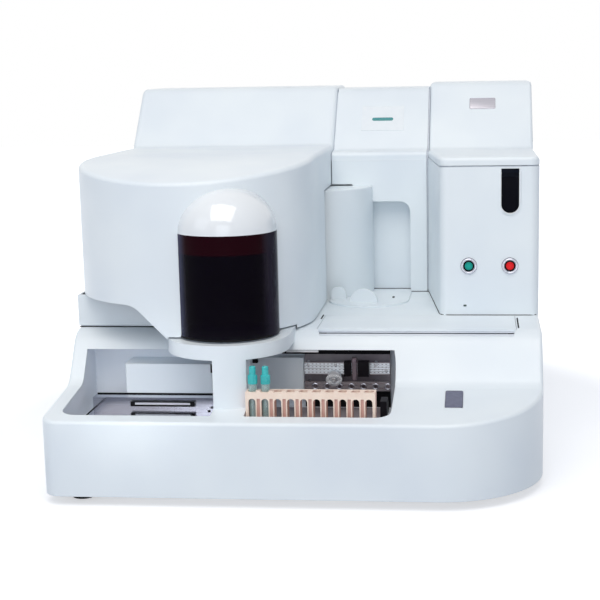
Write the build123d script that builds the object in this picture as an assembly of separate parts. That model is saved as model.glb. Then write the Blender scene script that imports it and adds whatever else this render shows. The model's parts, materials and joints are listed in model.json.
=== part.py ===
from build123d import *
import os
from math import atan2, cos, degrees, hypot, pi, radians, sin, tan

# A bench coagulation analyzer: a low housing with two rack pools in front, a drum shaped light
# shield lid with a smoked window on the left, a sloped hood and a cuvette tower on the right.
# X points right, Y points back, Z points up. The origin is on the bench, under the centre.
# All sizes are in millimetres.

# Widths of the three bays: drum lid, centre recess and tower
LID_BAY, CENTRE_BAY, TOWER_BAY = 394.5, 182.0, 198.5

# Overall sizes
DEPTH = 895.0
FOOT_HEIGHT = 15.0
WIDTH = LID_BAY + CENTRE_BAY + TOWER_BAY
LEFT, RIGHT = -WIDTH / 2, WIDTH / 2
FRONT, BACK = -DEPTH / 2, DEPTH / 2

# Walls and gaps
SKIN = 4.0
SHEET = 2.0
SEAM = 1.5
RUN_GAP = 2.5
SLIDE_GAP = 0.4
SHAFT_GAP = 0.06
LAP = 1.0

# Lower housing: front lip, sloping shelf, steep rise and deck
LIP_Z = 134.0
SHELF_RISE = 21.0
SHELF_DEPTH = 159.5
RISE_DEPTH = 53.0
DECK_Z = 235.0
LIP_R, RISE_FOOT_R, RISE_TOP_R = 8.0, 30.0, 45.0
FRONT_LEFT_R, FRONT_RIGHT_R, REAR_R = 30.0, 165.0, 4.5
TOP_EDGE_R = 6.0
CORNER_R = 3.0
REAR_OPEN_Z = 22.0
BASE_THICK = 2.0
FOOT_R, FOOT_INSET, FOOT_EDGE = 20.0, 52.0, 2.0
FOOT_RIGHT_INSET, FOOT_FRONT_INSET = 124.8, 78.0
BASE_SLOT, BASE_SLOT_PITCH, BASE_SLOTS = (6.0, 100.0), 14.0, 9
BASE_SLOT_X, BASE_SLOT_Y = LEFT + 327.5, FRONT + 507.5

# Rack pools in the front of the housing
POOL_SIDE = 25.5
BRIDGE_FROM_LEFT, BRIDGE_WIDTH = 263.5, 51.5
LOAD_POOL = 224.5
RIM_WIDTH = 28.0
POOL_DEPTH = 207.0
ROOF_DROP = 29.0
LEFT_FLOOR_Z, RIGHT_FLOOR_Z = 112.0, 101.5
LANE_DEPTH = 130.0
POOL_END_R, POOL_FRONT_R = 60.0, 24.0
POOL_LEFT_X = LEFT + POOL_SIDE
BRIDGE_X = LEFT + BRIDGE_FROM_LEFT, LEFT + BRIDGE_FROM_LEFT + BRIDGE_WIDTH
POOL_RIGHT_X = BRIDGE_X[1] + LOAD_POOL
POOL_ROOF_Z = DECK_Z - ROOF_DROP

# Drum lid
DRUM_RIGHT_X = LEFT + LID_BAY
DRUM_R, DRUM_X = (DRUM_RIGHT_X - LEFT) / 2, (DRUM_RIGHT_X + LEFT) / 2
DRUM_SETBACK = 110.25
DRUM_CENTRE_Y = FRONT + DRUM_SETBACK + DRUM_R
DRUM_LOW_Z = DECK_Z + RUN_GAP
DRUM_TOP_Z = 514.0
DRUM_NOSE_Y = FRONT + 247.5
DRUM_NOSE_ANGLE = 11.0
DRUM_NOSE_R = 1350.0
DRUM_EDGE_R = 8.0
GRIP_Z, GRIP_X, GRIP_RUN, GRIP_R = DECK_Z + 57.0, LEFT + 125.5, 60.0, 40.0
SILL_Y, SILL_END_X = FRONT + 236.5, LEFT + 147.5
NOTCH_Y, NOTCH_Z = FRONT + 474.5, 441.0

# Hoods
CREST_Y, CREST_Z = FRONT + 637.5, 503.0
LID_CREST_Z = 512.0
HOOD_ANGLE = 48.0
LID_TOP_Z, CENTRE_STEP, COVER_STEP = 622.0, 4.5, 4.0
CENTRE_TOP_Z, COVER_TOP_Z = LID_TOP_Z - CENTRE_STEP, LID_TOP_Z + COVER_STEP
CREST_R, HOOD_TOP_R, HOOD_BACK_R = 14.0, 28.0, 4.0
COVER_EDGE_R = 6.0
LID_OPEN_DEG = 60.0

# Hinges of both lids, and the rear edges that follow them
HINGE_INSET, HINGE_DROP, HINGE_R, PIN_R = 15.5, 18.0, 6.5, 3.0
HINGE_WIDTH, HINGE_ARM, HINGE_FOOT = 30.0, 8.0, 30.0
HINGE_Y, HINGE_Z = BACK - HINGE_INSET, LID_TOP_Z - HINGE_DROP
HOOD_OPEN_Z, REAR_TOP_Z = HINGE_Z + SHEET, HINGE_Z - 24.0
LID_HINGES = [LEFT + 57.5, DRUM_RIGHT_X - 57.0]

# Window, dome and the seat under them
WINDOW_X, WINDOW_Y = LEFT + 273.5, FRONT + 153.5
WINDOW_R, WINDOW_WALL = 81.0, 3.0
WINDOW_TOP_Z = 408.5
DOME_HEIGHT = 72.0
SEAT_R, SEAT_INNER_R = 98.0, 79.0
SEAT_LOW_Z, SEAT_TOP_Z = DECK_Z - 17.0, DECK_Z + 6.0
SEAT_BACK_Y = FRONT + 222.5

# Tower
TOWER_WALL_X = DRUM_RIGHT_X + CENTRE_BAY
TOWER_SLANT = 30.0
COVER_HINGES = [TOWER_WALL_X + 46.0, RIGHT - 42.5]
TOWER_LEFT_X = TOWER_WALL_X + TOWER_SLANT
TOWER_FRONT_Y = FRONT + 347.5
TOWER_TOP_Z = 489.5
TOWER_SHELF_Z = 506.0
TOWER_EDGE_R = 15.0

# Centre recess
WALL_Y = FRONT + 589.5
NICHE_DEPTH = 34.0
NICHE_X, NICHE_TOP_Z = TOWER_WALL_X - 33.0, 408.0
NICHE_R, NICHE_STEP_X = 20.0, DRUM_RIGHT_X + 41.0
CENTRE_LOW_Z = 486.5
CENTRE_SHELF_Z = 501.0
CENTRE_X = DRUM_RIGHT_X + SEAM, TOWER_WALL_X - SEAM
PLATE_X, PLATE_PROUD = DRUM_RIGHT_X + 92.0, 0.6
PLATE_ALONG = (CENTRE_TOP_Z - CREST_Z) / 2 / sin(radians(HOOD_ANGLE))
PLATE_SIZE = (82.0, 60.0)
LIGHT_SIZE, LIGHT_SHIFT = (41.0, 7.5), -3.0
DETECTOR_X, DETECTOR_Y, DETECTOR_R = DRUM_RIGHT_X - 17.0, WALL_Y + 8.0, 95.0
DETECTOR_TOP_Z = 438.0

# Reagent table under the centre recess
TABLE_X, TABLE_Y = DRUM_RIGHT_X + 48.0, WALL_Y - 112.0
TABLE_R, TABLE_DROP = 83.0, 97.0
TABLE_THICK, HUB_HEIGHT = 4.0, 28.0
VIAL_RING_R, VIAL_COUNT = 70.0, 8
VIAL_R, VIAL_WALL, VIAL_HEIGHT = 12.0, 1.5, 58.0
WELL_R, WELL_DEPTH = 90.0, 117.0
PORT_R = 12.0
COVER_X = DRUM_RIGHT_X + 3.5, DRUM_RIGHT_X + 150.5
COVER_FRONT_Y = WALL_Y - 172.0
COVER_THICK, COVER_LIP = 3.0, 7.0
TAB_THICK = 5.0
TABS = [(DRUM_RIGHT_X + 70.0, WALL_Y - 130.0, 52.0, 25.0, -10.7),
        (DRUM_RIGHT_X + 21.0, WALL_Y - 100.0, 28.0, 24.0, 0.0)]
COVER_LIFT = 60.0
TABLE_Z, WELL_FLOOR_Z = DECK_Z - TABLE_DROP, DECK_Z - WELL_DEPTH

# Deck lid and the bottle well under it
DECK_LID_X = DRUM_RIGHT_X + 13.0, RIGHT - 41.5
DECK_LID_FRONT_Y = FRONT + 229.5
DECK_LID_BACK_Y = TOWER_FRONT_Y - 3.0
DECK_LID_THICK = 5.0
LID_GAP = 0.8
DECK_GRIP, DECK_GRIP_TAPER, DECK_GRIP_DROP = 32.0, 8.0, 9.0
DECK_POCKET = 6.0
BOTTLE_WELL_INSET = 15.0
BOTTLE_WELL_DEPTH = 85.0
BOTTLE_COUNT, BOTTLE_SIDE, BOTTLE_HEIGHT, BOTTLE_EDGE_R, BOTTLE_NECK = 4, 58.0, 58.0, 6.0, 14.0
DECK_LID_PIN_R, DECK_LID_PIN_INSET = 1.5, 4.0
DECK_LID_OPEN_DEG = 80.0
DECK_GRIP_Z, BOTTLE_WELL_FLOOR_Z = DECK_Z - DECK_GRIP_DROP, DECK_Z - BOTTLE_WELL_DEPTH

# Work area under the drum lid
PLATE_THICK = 3.0
DECK_PLATE_X = LEFT + 15.5, DRUM_RIGHT_X - 5.0
DECK_PLATE_Y = FRONT + 257.5, FRONT + 617.5
DECK_PLATE_R, DECK_PLATE_FRONT_R = 20.0, 60.0
ROTOR_X, ROTOR_Y = LEFT + 152.5, FRONT + 427.5
ROTOR_R, ROTOR_DROP, ROTOR_THICK, ROTOR_RIM, ROTOR_WEB = 92.0, 9.0, 18.0, 14.0, 4.0
WEB_RING_R, WEB_HOLE_R, WEB_HOLES = 42.0, 12.0, 6
CUVETTE_RING_R, CUVETTE_COUNT, CUVETTE_R = 80.0, 24, 5.0
BOWL_R, BOWL_DEPTH = 96.0, 45.0
SPINDLE_R, SEAT_THICK = 6.0, 5.0
SAMPLE_HOLE, REAGENT_HOLE = 19, 22
SAMPLE_POST_OFFSET, REAGENT_POST_OFFSET = 130.0, 90.0
ARM_RISE, ARM_THICK, ARM_WIDTH = 71.0, 16.0, 28.0
ARM_TIP = 9.0
ARM_DROP = 55.0
POST_R, BUSH_R, BUSH_FLANGE, PIVOT_TOP = 9.0, 15.0, 4.0, 3.0
PIVOT_R = 5.0
PROBE_R, PROBE_LOW, PROBE_TIP, PROBE_TOP = 1.5, 23.0, 8.0, 6.0
WASH_X, WASH_Y, WASH_RISE, WASH_ANGLE = LEFT + 52.5, FRONT + 509.5, 27.0, 127.5
WASH_POST, WASH_HALF, WASH_HEIGHT, WASH_REACH, WASH_NOZZLE_R = 16.0, 34.0, 22.0, 22.0, 1.5
WASH_NOZZLES, WASH_NOZZLE_GAP = 4, 4.0
PUMP_X, PUMP_Y = (DECK_PLATE_X[0], DRUM_RIGHT_X - 15.0), (DETECTOR_Y + DETECTOR_R + 10.0, BACK - 27.5)
PUMP_TOP_Z, PUMP_EDGE_R = 470.0, 4.0
PUMP_VENTS, PUMP_VENT, PUMP_VENT_PITCH, PUMP_VENT_DROP = 7, (120.0, 5.0), 12.0, 40.0
PUMP_VENT_X = LEFT + 137.5
ROTOR_Z, BOWL_FLOOR_Z, BUSH_LOW_Z = DECK_Z - ROTOR_DROP, DECK_Z - BOWL_DEPTH, DECK_Z - BOWL_DEPTH
ARM_Z, PROBE_LOW_Z, WASH_Z = DECK_Z + ARM_RISE, DECK_Z + PROBE_LOW, DECK_Z + WASH_RISE

# Sample rack and tubes
RACK_FRONT_Y = FRONT + 42.5
RACK_PITCH, RACK_COUNT = 20.0, 10
RACK_WIDTH, RACK_HEIGHT = 23.0, 70.0
RACK_BORE_R, RACK_WINDOW, RACK_WINDOW_LOW, RACK_WINDOW_TOP = 7.6, 11.0, 8.0, 60.0
RACK_GROOVE = (5.0, 2.5)
RACK_TAB = (7.0, 3.0, 3.0)
RACK_FLOOR = 3.0
RACK_TRAVEL = 100.0
TUBE_R, TUBE_HEIGHT, TUBE_WALL = 6.5, 78.0, 1.0
TUBE_COUNT = 2
CAP_R, CAP_NECK_R, CAP_HEIGHT, CAP_EDGE_R = 7.5, 5.3, 27.0, 1.5
RACK_LEFT_X = BRIDGE_X[1] + SEAM

# Return pool: reader, bright tray and pusher bar
READER_X = POOL_LEFT_X + 66.0, BRIDGE_X[0] - 26.0
READER_DEPTH, READER_RISE, READER_EDGE_R = 52.5, (19.0, 72.0), 2.0
TRAY_FRONT, TRAY_SIDE, STRIP_FROM_FRONT, STRIP_RISE = 12.0, 16.0, 157.5, 21.0
PUSHER_X, PUSHER_RISE = (POOL_LEFT_X + 80.0, BRIDGE_X[0] - 51.0), (7.0, 16.0)
PUSHER_TRAVEL, PUSHER_NOSE, PUSHER_THICK = 20.0, 4.0, 6.4

# Loading pool: reader, dark back plate, strip and rail, sensors, roller and pawl
LANE_READER_X, LANE_READER_RISE = (BRIDGE_X[1] - 23.5, BRIDGE_X[1] + 69.5), (25.5, 86.5)
LANE_READER_DEPTH = 19.5
BACK_PLATE_X, BACK_PLATE_TOP = (LANE_READER_X[1] + 0.5, POOL_RIGHT_X - 12.0), 90.5
BACK_PLATE_OFF, RAIL_OFF = 8.5, 27.5
STRIP_SPAN, RAIL_SPAN = (60.5, 80.5), (32.5, 48.5)
RAIL_HOLE_R, RAIL_HOLES, RAIL_HOLE_START, RAIL_HOLE_RISE = 3.5, 7, 19.5, 40.5
SPACER_R, SPACER_IN, STRIP_SPACER_RISE, RAIL_SPACER_RISE = 3.0, (6.5, 118.5), 76.5, 45.5
SENSOR_STEPS = [(68.5, 11.0, 14.0, (60.5, 84.5)), (90.5, 19.0, 16.0, (60.5, 84.5))]
BRACKET_STEP = (81.5, 7.0, 10.0, (53.5, 89.5))
BRACKET_PIN = (3.0, 4.0, 85.5)
ROLLER_STEP, ROLLER_R, ROLLER_RISE, ROLLER_THICK = 52.0, 12.4, 55.5, 8.0
PAWL_X, PAWL_Y, PAWL_RISE = (POOL_RIGHT_X - 21.5, POOL_RIGHT_X - 11.0), (FRONT + 117.5, FRONT + 147.5), 38.5

# Buttons on the tower
BUTTON_STEP, BUTTON_RISE = 70.0, 86.0
STOP_X = RIGHT - 49.5
START_X, BUTTON_Z = STOP_X - BUTTON_STEP, DECK_Z + BUTTON_RISE
BEZEL_R, COLLAR_R, BUTTON_R = 13.5, 9.0, 7.0
BEZEL_THICK = 2.0
BUTTON_TRAVEL = 2.0
BUTTON_PROUD, BUTTON_EDGE_R = 3.5, 1.0
SLEEVE_DEPTH, SWITCH_DEPTH = 10.0, 20.0

# Bare level key on the shelf
KEY_X, KEY_Y = RIGHT - 140.5, FRONT + 104.5
KEY_WIDTH, KEY_LENGTH, KEY_THICK = 27.0, 68.0, 5.0
KEY_PROUD, KEY_TRAVEL = 1.2, 1.5

# Tall window on the tower
SLOT_X, SLOT_LOW_Z, SLOT_TOP_Z = RIGHT - 49.5, 411.0, 480.0
SLOT_WIDTH, SLOT_RIM, SLOT_PROUD = 30.0, 3.5, 1.2

# Cuvette bin in the tower
BIN_X, BIN_Y = (TOWER_LEFT_X + 17.0, RIGHT - 15.5), (TOWER_FRONT_Y + 45.0, TOWER_FRONT_Y + 240.0)
BIN_LEGS, BIN_TOP, BIN_LEG = 65.0, 245.0, 10.0
FEED_R, FEED_AXLE_R, FEED_VANES, FEED_VANE, FEED_RISE = 32.0, 4.0, 6, 3.0, 8.0
BIN_Z = DECK_Z + BIN_LEGS, DECK_Z + BIN_TOP

# Rear panel and what sits in it
REAR_THICK = 3.0
FAN_X, FAN_Z, FAN_R, FAN_RIM = LEFT + 157.5, 125.0, 55.0, 6.0
FAN_DEPTH, FAN_STRUT, FAN_HUB_R, FAN_MOTOR_R, FAN_PIN = 30.0, (3.0, 6.0), 15.0, 16.0, (4.0, 20.0)
FAN_BLADES, BLADE_TWIST, BLADE, FAN_GAP = 7, 32.0, (18.0, 2.0), (4.0, 7.0)
GUARD_RINGS, GUARD_SLOT, GUARD_BAR = [22.0, 33.0, 44.0, 55.0], 8.0, 4.0
INLET_X, INLET_Z = RIGHT - 87.5, 80.0
INLET_SIZE, INLET_WALL, INLET_DEPTH, INLET_MOUTH = (30.0, 22.0), 3.0, 22.0, 14.0
CONTACTS, CONTACT = ((-6.0, -2.0), (6.0, -2.0), (0.0, 4.0)), (2.0, 5.0)
ROCKER_X, ROCKER_SIZE, ROCKER_WALL, ROCKER_DEPTH = RIGHT - 137.5, (20.0, 28.0), 2.0, 16.0
ROCKER_GAP, ROCKER_PIN_R, ROCKER_PIN_Y, ROCKER_BODY, SEAT_GAP = (0.5, 2.0), 1.0, 3.0, (6.0, 0.5), 0.2
VENT_X, VENT_Z, VENT_COUNT = (LEFT + 187.5, DRUM_RIGHT_X + 93.0, RIGHT - 137.5), 300.0, 9
VENT, VENT_PITCH = (100.0, 4.0), 12.0
HOSE_X, HOSE_PITCH, HOSE_Z, HOSE_R, HOSE_DEPTH, HOSE_COUNT = DRUM_RIGHT_X + 33.0, 40.0, 70.0, 10.0, 14.0, 3
SUPPLY_SIZE, SUPPLY_GAP = (120.0, 180.0, 120.0), 30.0

SHELF_FOOT_Y = FRONT + SHELF_DEPTH
SHELF_Z = LIP_Z + SHELF_RISE
RISE_TOP_Y = SHELF_FOOT_Y + RISE_DEPTH
SHELF_TILT = degrees(atan2(SHELF_RISE, SHELF_DEPTH))
POOL_FRONT_Y = FRONT + RIM_WIDTH
POOL_BACK_Y = POOL_FRONT_Y + POOL_DEPTH
LANE_FRONT_Y = POOL_BACK_Y - LANE_DEPTH
REAR_Y = BACK - REAR_THICK
DECK_LEDGE_Z = DECK_Z - DECK_LID_THICK - SLIDE_GAP
DECK_LID_PIN_Y = DECK_LID_BACK_Y - DECK_LID_PIN_INSET
DECK_PIN_Z = DECK_Z - DECK_LID_THICK / 2
STRIP_Y, STRIP_TOP_Z = FRONT + STRIP_FROM_FRONT, LEFT_FLOOR_Z + STRIP_RISE
READER_Y = POOL_BACK_Y - READER_DEPTH, POOL_BACK_Y
RAIL_Y = POOL_BACK_Y - RAIL_OFF


def above(base, span):
    """A span of heights, given from a base."""
    return base + span[0], base + span[1]


def cuvette(index):
    """Centre of one cuvette hole of the rotor."""
    angle = radians(360 * index / CUVETTE_COUNT)
    return ROTOR_X + CUVETTE_RING_R * cos(angle), ROTOR_Y + CUVETTE_RING_R * sin(angle)


def arm_post(start, end, out):
    """Centre of an arm's post, equally far from both of its targets."""
    length = hypot(end[0] - start[0], end[1] - start[1])
    way = (end[0] - start[0]) / length, (end[1] - start[1]) / length
    return (start[0] + end[0]) / 2 + out * way[1], (start[1] + end[1]) / 2 - out * way[0]


PORT = TABLE_X - VIAL_RING_R, TABLE_Y
SAMPLE_POST = arm_post((WINDOW_X, WINDOW_Y), cuvette(SAMPLE_HOLE), SAMPLE_POST_OFFSET)
REAGENT_POST = arm_post(PORT, cuvette(REAGENT_HOLE), REAGENT_POST_OFFSET)


def save(name, shape):
    """Write one named piece."""
    shape.label = name
    export_step(shape, f"parts/{name}.step")


def block(x, y, z):
    """A block between two values on each axis."""
    size = Box(x[1] - x[0], y[1] - y[0], z[1] - z[0])
    return Pos((x[0] + x[1]) / 2, (y[0] + y[1]) / 2, (z[0] + z[1]) / 2) * size


def rod_z(x, y, z, radius):
    """An upright cylinder between two heights."""
    return Pos(x, y, (z[0] + z[1]) / 2) * Cylinder(radius, z[1] - z[0])


def rod_y(x, y, z, radius):
    """A cylinder along Y between two depths."""
    return Pos(x, (y[0] + y[1]) / 2, z) * Rot(90, 0, 0) * Cylinder(radius, y[1] - y[0])


def rod_x(x, y, z, radius):
    """A cylinder along X between two values."""
    return Pos((x[0] + x[1]) / 2, y, z) * Rot(0, 90, 0) * Cylinder(radius, x[1] - x[0])


def outline(points, radii):
    """A flat face with straight sides and rounded corners."""
    return make_face(FilletPolyline(*points, radius=radii, close=True))


def prism_z(face, z):
    """Raise a plan face between two heights."""
    return extrude(Pos(0, 0, z[0]) * face, amount=z[1] - z[0], dir=(0, 0, 1))


def prism_x(face, x):
    """Push a side face, drawn as Y and Z, along X."""
    return extrude(Plane.YZ.offset(x[0]) * face, amount=x[1] - x[0], dir=(1, 0, 0))


def prism_y(face, y):
    """Push a front face, drawn as X and Z, along Y."""
    return extrude(Plane.XZ.offset(-y[0]) * face, amount=y[1] - y[0], dir=(0, 1, 0))


def group(shapes):
    """Keep alike pieces together in one node as separate solids."""
    return Compound(children=list(shapes))


def body_plan(inset=0.0):
    """Plan of the whole body, with its large right front corner."""
    low, high, left, right = FRONT + inset, BACK - inset, LEFT + inset, RIGHT - inset
    points = [(left, low), (right, low), (right, high), (left, high)]
    return outline(points, [FRONT_LEFT_R - inset, FRONT_RIGHT_R - inset, REAR_R - inset, REAR_R - inset])


def rims(body, low, front, back):
    """Edges along the top of a moulded body, with its front lip but not the bends that cross it."""
    chosen = []
    for edge in body.edges():
        box = edge.bounding_box()
        bend = abs(edge.tangent_at(0.5).X) > 0.999 and box.max.Y > front + 0.1
        if box.min.Z > low and box.max.Y < back and not bend:
            chosen.append(edge)
    return chosen


def housing_side(lip=0.0):
    """Side view of the lower housing: lip, shelf, rise and deck."""
    points = [(FRONT, FOOT_HEIGHT), (FRONT, LIP_Z), (SHELF_FOOT_Y, SHELF_Z),
              (RISE_TOP_Y, DECK_Z), (BACK, DECK_Z), (BACK, FOOT_HEIGHT)]
    return outline(points, [0, lip, RISE_FOOT_R, RISE_TOP_R, 0, 0])


def housing_body():
    """The solid envelope of the lower housing, with the edge of its shelf and rise rounded."""
    body = prism_z(body_plan(), (FOOT_HEIGHT, DECK_Z)) & prism_x(housing_side(), (LEFT, RIGHT))
    return fillet(rims(body, LIP_Z - LIP_R, FRONT, RISE_TOP_Y + RISE_TOP_R), TOP_EDGE_R)


def housing_hollow():
    """The space inside the lower housing, open at the bottom."""
    side = prism_x(offset(housing_side(LIP_R), amount=-SKIN), (LEFT, RIGHT))
    under = block((LEFT, RIGHT), (FRONT, BACK), (FOOT_HEIGHT - 1, FOOT_HEIGHT + SKIN + 1))
    return prism_z(body_plan(SKIN), (FOOT_HEIGHT - 1, DECK_Z)) & (side + under)


def pool_plan(grow=0.0, end_r=POOL_END_R):
    """Plan of both rack pools and the lane that joins them behind the column."""
    left = POOL_LEFT_X - grow, BRIDGE_X[0] + grow
    right = BRIDGE_X[1] - grow, POOL_RIGHT_X + grow
    front, back = POOL_FRONT_Y - grow, POOL_BACK_Y + grow
    return_side = outline([(left[0], front), (left[1], front), (left[1], back), (left[0], back)],
                          [POOL_FRONT_R + grow, CORNER_R, 0, CORNER_R])
    load_side = outline([(right[0], front), (right[1], front), (right[1], back), (right[0], back)],
                        [CORNER_R, POOL_FRONT_R + grow, end_r + grow, 0])
    middle = (left[1] + right[0]) / 2, (LANE_FRONT_Y - grow + back) / 2
    lane = Pos(*middle) * Rectangle(right[0] - left[1] + 2 * SKIN, back - LANE_FRONT_Y + grow)
    return return_side + load_side + lane


def drum_plan(inset=0.0):
    """Plan of the drum lid: a half circle in front, straight sides to the back."""
    front = Pos(DRUM_X, DRUM_CENTRE_Y) * Circle(DRUM_R - inset)
    length = BACK - inset - DRUM_CENTRE_Y
    return front + Pos(DRUM_X, DRUM_CENTRE_Y + length / 2) * Rectangle(2 * (DRUM_R - inset), length)


def hood_side(points, radii, top, low):
    """Side view of a hood: the given front, a slope up to the top and a straight back."""
    rise_y = points[-1][0] + (top - points[-1][1]) / tan(radians(HOOD_ANGLE))
    return outline(points + [(rise_y, top), (BACK, top), (BACK, low)], radii + [HOOD_TOP_R, HOOD_BACK_R, 0])


def drum_side():
    """Side view of the drum lid: arched top, crest and hood."""
    nose_z = DRUM_TOP_Z - (DRUM_NOSE_Y - FRONT) * tan(radians(DRUM_NOSE_ANGLE))
    points = [(FRONT, DRUM_LOW_Z), (FRONT, nose_z), (DRUM_NOSE_Y, DRUM_TOP_Z), (CREST_Y, LID_CREST_Z)]
    return hood_side(points, [0, 0, DRUM_NOSE_R, CREST_R], LID_TOP_Z, DRUM_LOW_Z)


def drum_body():
    """The solid envelope of the drum lid, with its top edge rounded."""
    body = prism_z(drum_plan(), (DRUM_LOW_Z, LID_TOP_Z)) & prism_x(drum_side(), (LEFT, DRUM_RIGHT_X))
    return fillet(rims(body, DRUM_LOW_Z + DRUM_EDGE_R, FRONT, BACK - 0.1), DRUM_EDGE_R)


def seat_plan(grow=0.0):
    """Plan of the ring under the window, running straight back to the rise."""
    radius = SEAT_R + grow
    legs = Pos(WINDOW_X, WINDOW_Y + SEAT_R / 2) * Rectangle(2 * radius, SEAT_R)
    return Pos(WINDOW_X, WINDOW_Y) * Circle(radius) + legs


def dome_body(inset=0.0):
    """The solid dome over the window, an upright half ellipsoid on a cylinder."""
    radius, height = WINDOW_R - inset, DOME_HEIGHT - inset
    arc = EllipticalCenterArc((0, 0), radius, height, start_angle=0, arc_size=90)
    face = make_face(arc + Polyline((0, height), (0, -1), (radius, -1), (radius, 0)))
    return Pos(WINDOW_X, WINDOW_Y, WINDOW_TOP_Z) * revolve(Plane.XZ * face, Axis.Z)


def tower_plan(inset=0.0, back=BACK):
    """Plan of the tower: its left wall slants outwards towards the back."""
    points = [(TOWER_LEFT_X + inset, TOWER_FRONT_Y + inset), (RIGHT - inset, TOWER_FRONT_Y + inset),
              (RIGHT - inset, back), (TOWER_WALL_X + SEAM + inset, back),
              (TOWER_WALL_X + SEAM + inset, WALL_Y)]
    return outline(points, [TOWER_EDGE_R - inset, TOWER_EDGE_R - inset, 0, 0, 0])


def cover_plan(inset=0.0):
    """Plan of the reagent cover, notched round the detector housing."""
    left, right = COVER_X[0] + inset, COVER_X[1] - inset
    low, high = COVER_FRONT_Y + inset, WALL_Y - SEAM + 0.5 - inset
    face = outline([(left, low), (right, low), (right, high), (left, high)],
                   [(right - left) / 2 - 0.5, (right - left) / 2 - 0.5, CORNER_R, 0])
    return face - Pos(DETECTOR_X, DETECTOR_Y) * Circle(DETECTOR_R + RUN_GAP + inset)


def deck_lid_plan(grow=0.0):
    """Plan of the deck lid."""
    size = DECK_LID_X[1] - DECK_LID_X[0] + 2 * grow, DECK_LID_BACK_Y - DECK_LID_FRONT_Y + 2 * grow
    middle = (DECK_LID_X[0] + DECK_LID_X[1]) / 2, (DECK_LID_FRONT_Y + DECK_LID_BACK_Y) / 2
    return Pos(*middle) * Rectangle(*size)


def grip_plan(grow=0.0):
    """Plan of the finger recess in front of the deck lid."""
    left, right = DECK_LID_X
    back, front = DECK_LID_FRONT_Y + 0.5, DECK_LID_FRONT_Y - DECK_GRIP - grow
    return outline([(left - grow, back), (left + DECK_GRIP_TAPER - grow, front),
                    (right - DECK_GRIP_TAPER + grow, front), (right + grow, back)],
                   [0, CORNER_R, CORNER_R, 0])


def make_housing(envelope, hollow):
    """The moulded lower housing with its openings."""
    shell = envelope - hollow
    panel = LEFT + SKIN + RUN_GAP, RIGHT - SKIN - RUN_GAP
    shell -= block(panel, (REAR_Y, BACK + 1), (REAR_OPEN_Z, DECK_Z + 1))
    shell -= block(panel, (BACK - SKIN - 1, BACK), (REAR_OPEN_Z, DECK_Z - SKIN))
    shell -= prism_z(pool_plan(), (RIGHT_FLOOR_Z, POOL_ROOF_Z))
    shell -= prism_z(deck_lid_plan(LID_GAP), (DECK_LEDGE_Z, DECK_Z + 1))
    shell -= prism_z(grip_plan(), (DECK_GRIP_Z, DECK_Z + 1))
    shell -= rod_x((DECK_LID_X[0] - SKIN, DECK_LID_X[1] + SKIN), DECK_LID_PIN_Y, DECK_PIN_Z,
                   DECK_LID_PIN_R + SHAFT_GAP)
    shell -= rod_z(ROTOR_X, ROTOR_Y, (DECK_Z - SKIN - 1, DECK_Z + 1), BOWL_R + SHEET)
    shell -= prism_z(well_mouth(), (DECK_Z - SKIN - 1, DECK_Z + 1))
    shell -= rod_z(*PORT, (DECK_Z - SKIN - 1, DECK_Z + 1), PORT_R)
    for post in (SAMPLE_POST, REAGENT_POST):
        shell -= rod_z(*post, (DECK_Z - SKIN - 1, DECK_Z + 1), BUSH_R)
    low = KEY_PROUD - KEY_THICK - KEY_TRAVEL - SLIDE_GAP
    shell += key_frame(KEY_WIDTH + 3 * SKIN, KEY_LENGTH + 3 * SKIN, (low - SHEET, -SKIN / 2))
    return shell - key_frame(KEY_WIDTH + 2 * SLIDE_GAP, KEY_LENGTH + 2 * SLIDE_GAP, (low, SKIN))


def key_frame(width, length, z):
    """A block square to the sloping shelf at the place of the key."""
    shelf_z = SHELF_Z - (SHELF_FOOT_Y - KEY_Y) * tan(radians(SHELF_TILT))
    return Pos(KEY_X, KEY_Y, shelf_z) * Rot(SHELF_TILT, 0, 0) * block((-width / 2, width / 2),
                                                                      (-length / 2, length / 2), z)


def well_mouth():
    """Plan of the opening in the deck over the reagent table."""
    return cover_plan(COVER_LIP) & Pos(TABLE_X, TABLE_Y) * Circle(WELL_R - SHEET)


def make_pools(hollow):
    """The moulded trough of both rack pools, hung under the shelf and the rise."""
    cup = prism_z(pool_plan(SHEET, POOL_FRONT_R), (RIGHT_FLOOR_Z - SHEET, POOL_ROOF_Z + SHEET)) & hollow
    return cup - prism_z(pool_plan(0, POOL_FRONT_R), (RIGHT_FLOOR_Z, POOL_ROOF_Z))


def bottle_well_box(grow=0.0):
    """The space for the bottles under the deck lid."""
    x = DECK_LID_X[0] + BOTTLE_WELL_INSET - grow, DECK_LID_X[1] - BOTTLE_WELL_INSET + grow
    y = DECK_LID_FRONT_Y + BOTTLE_WELL_INSET - grow, DECK_LID_BACK_Y - BOTTLE_WELL_INSET + grow
    return block(x, y, (BOTTLE_WELL_FLOOR_Z - grow, DECK_Z))


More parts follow.
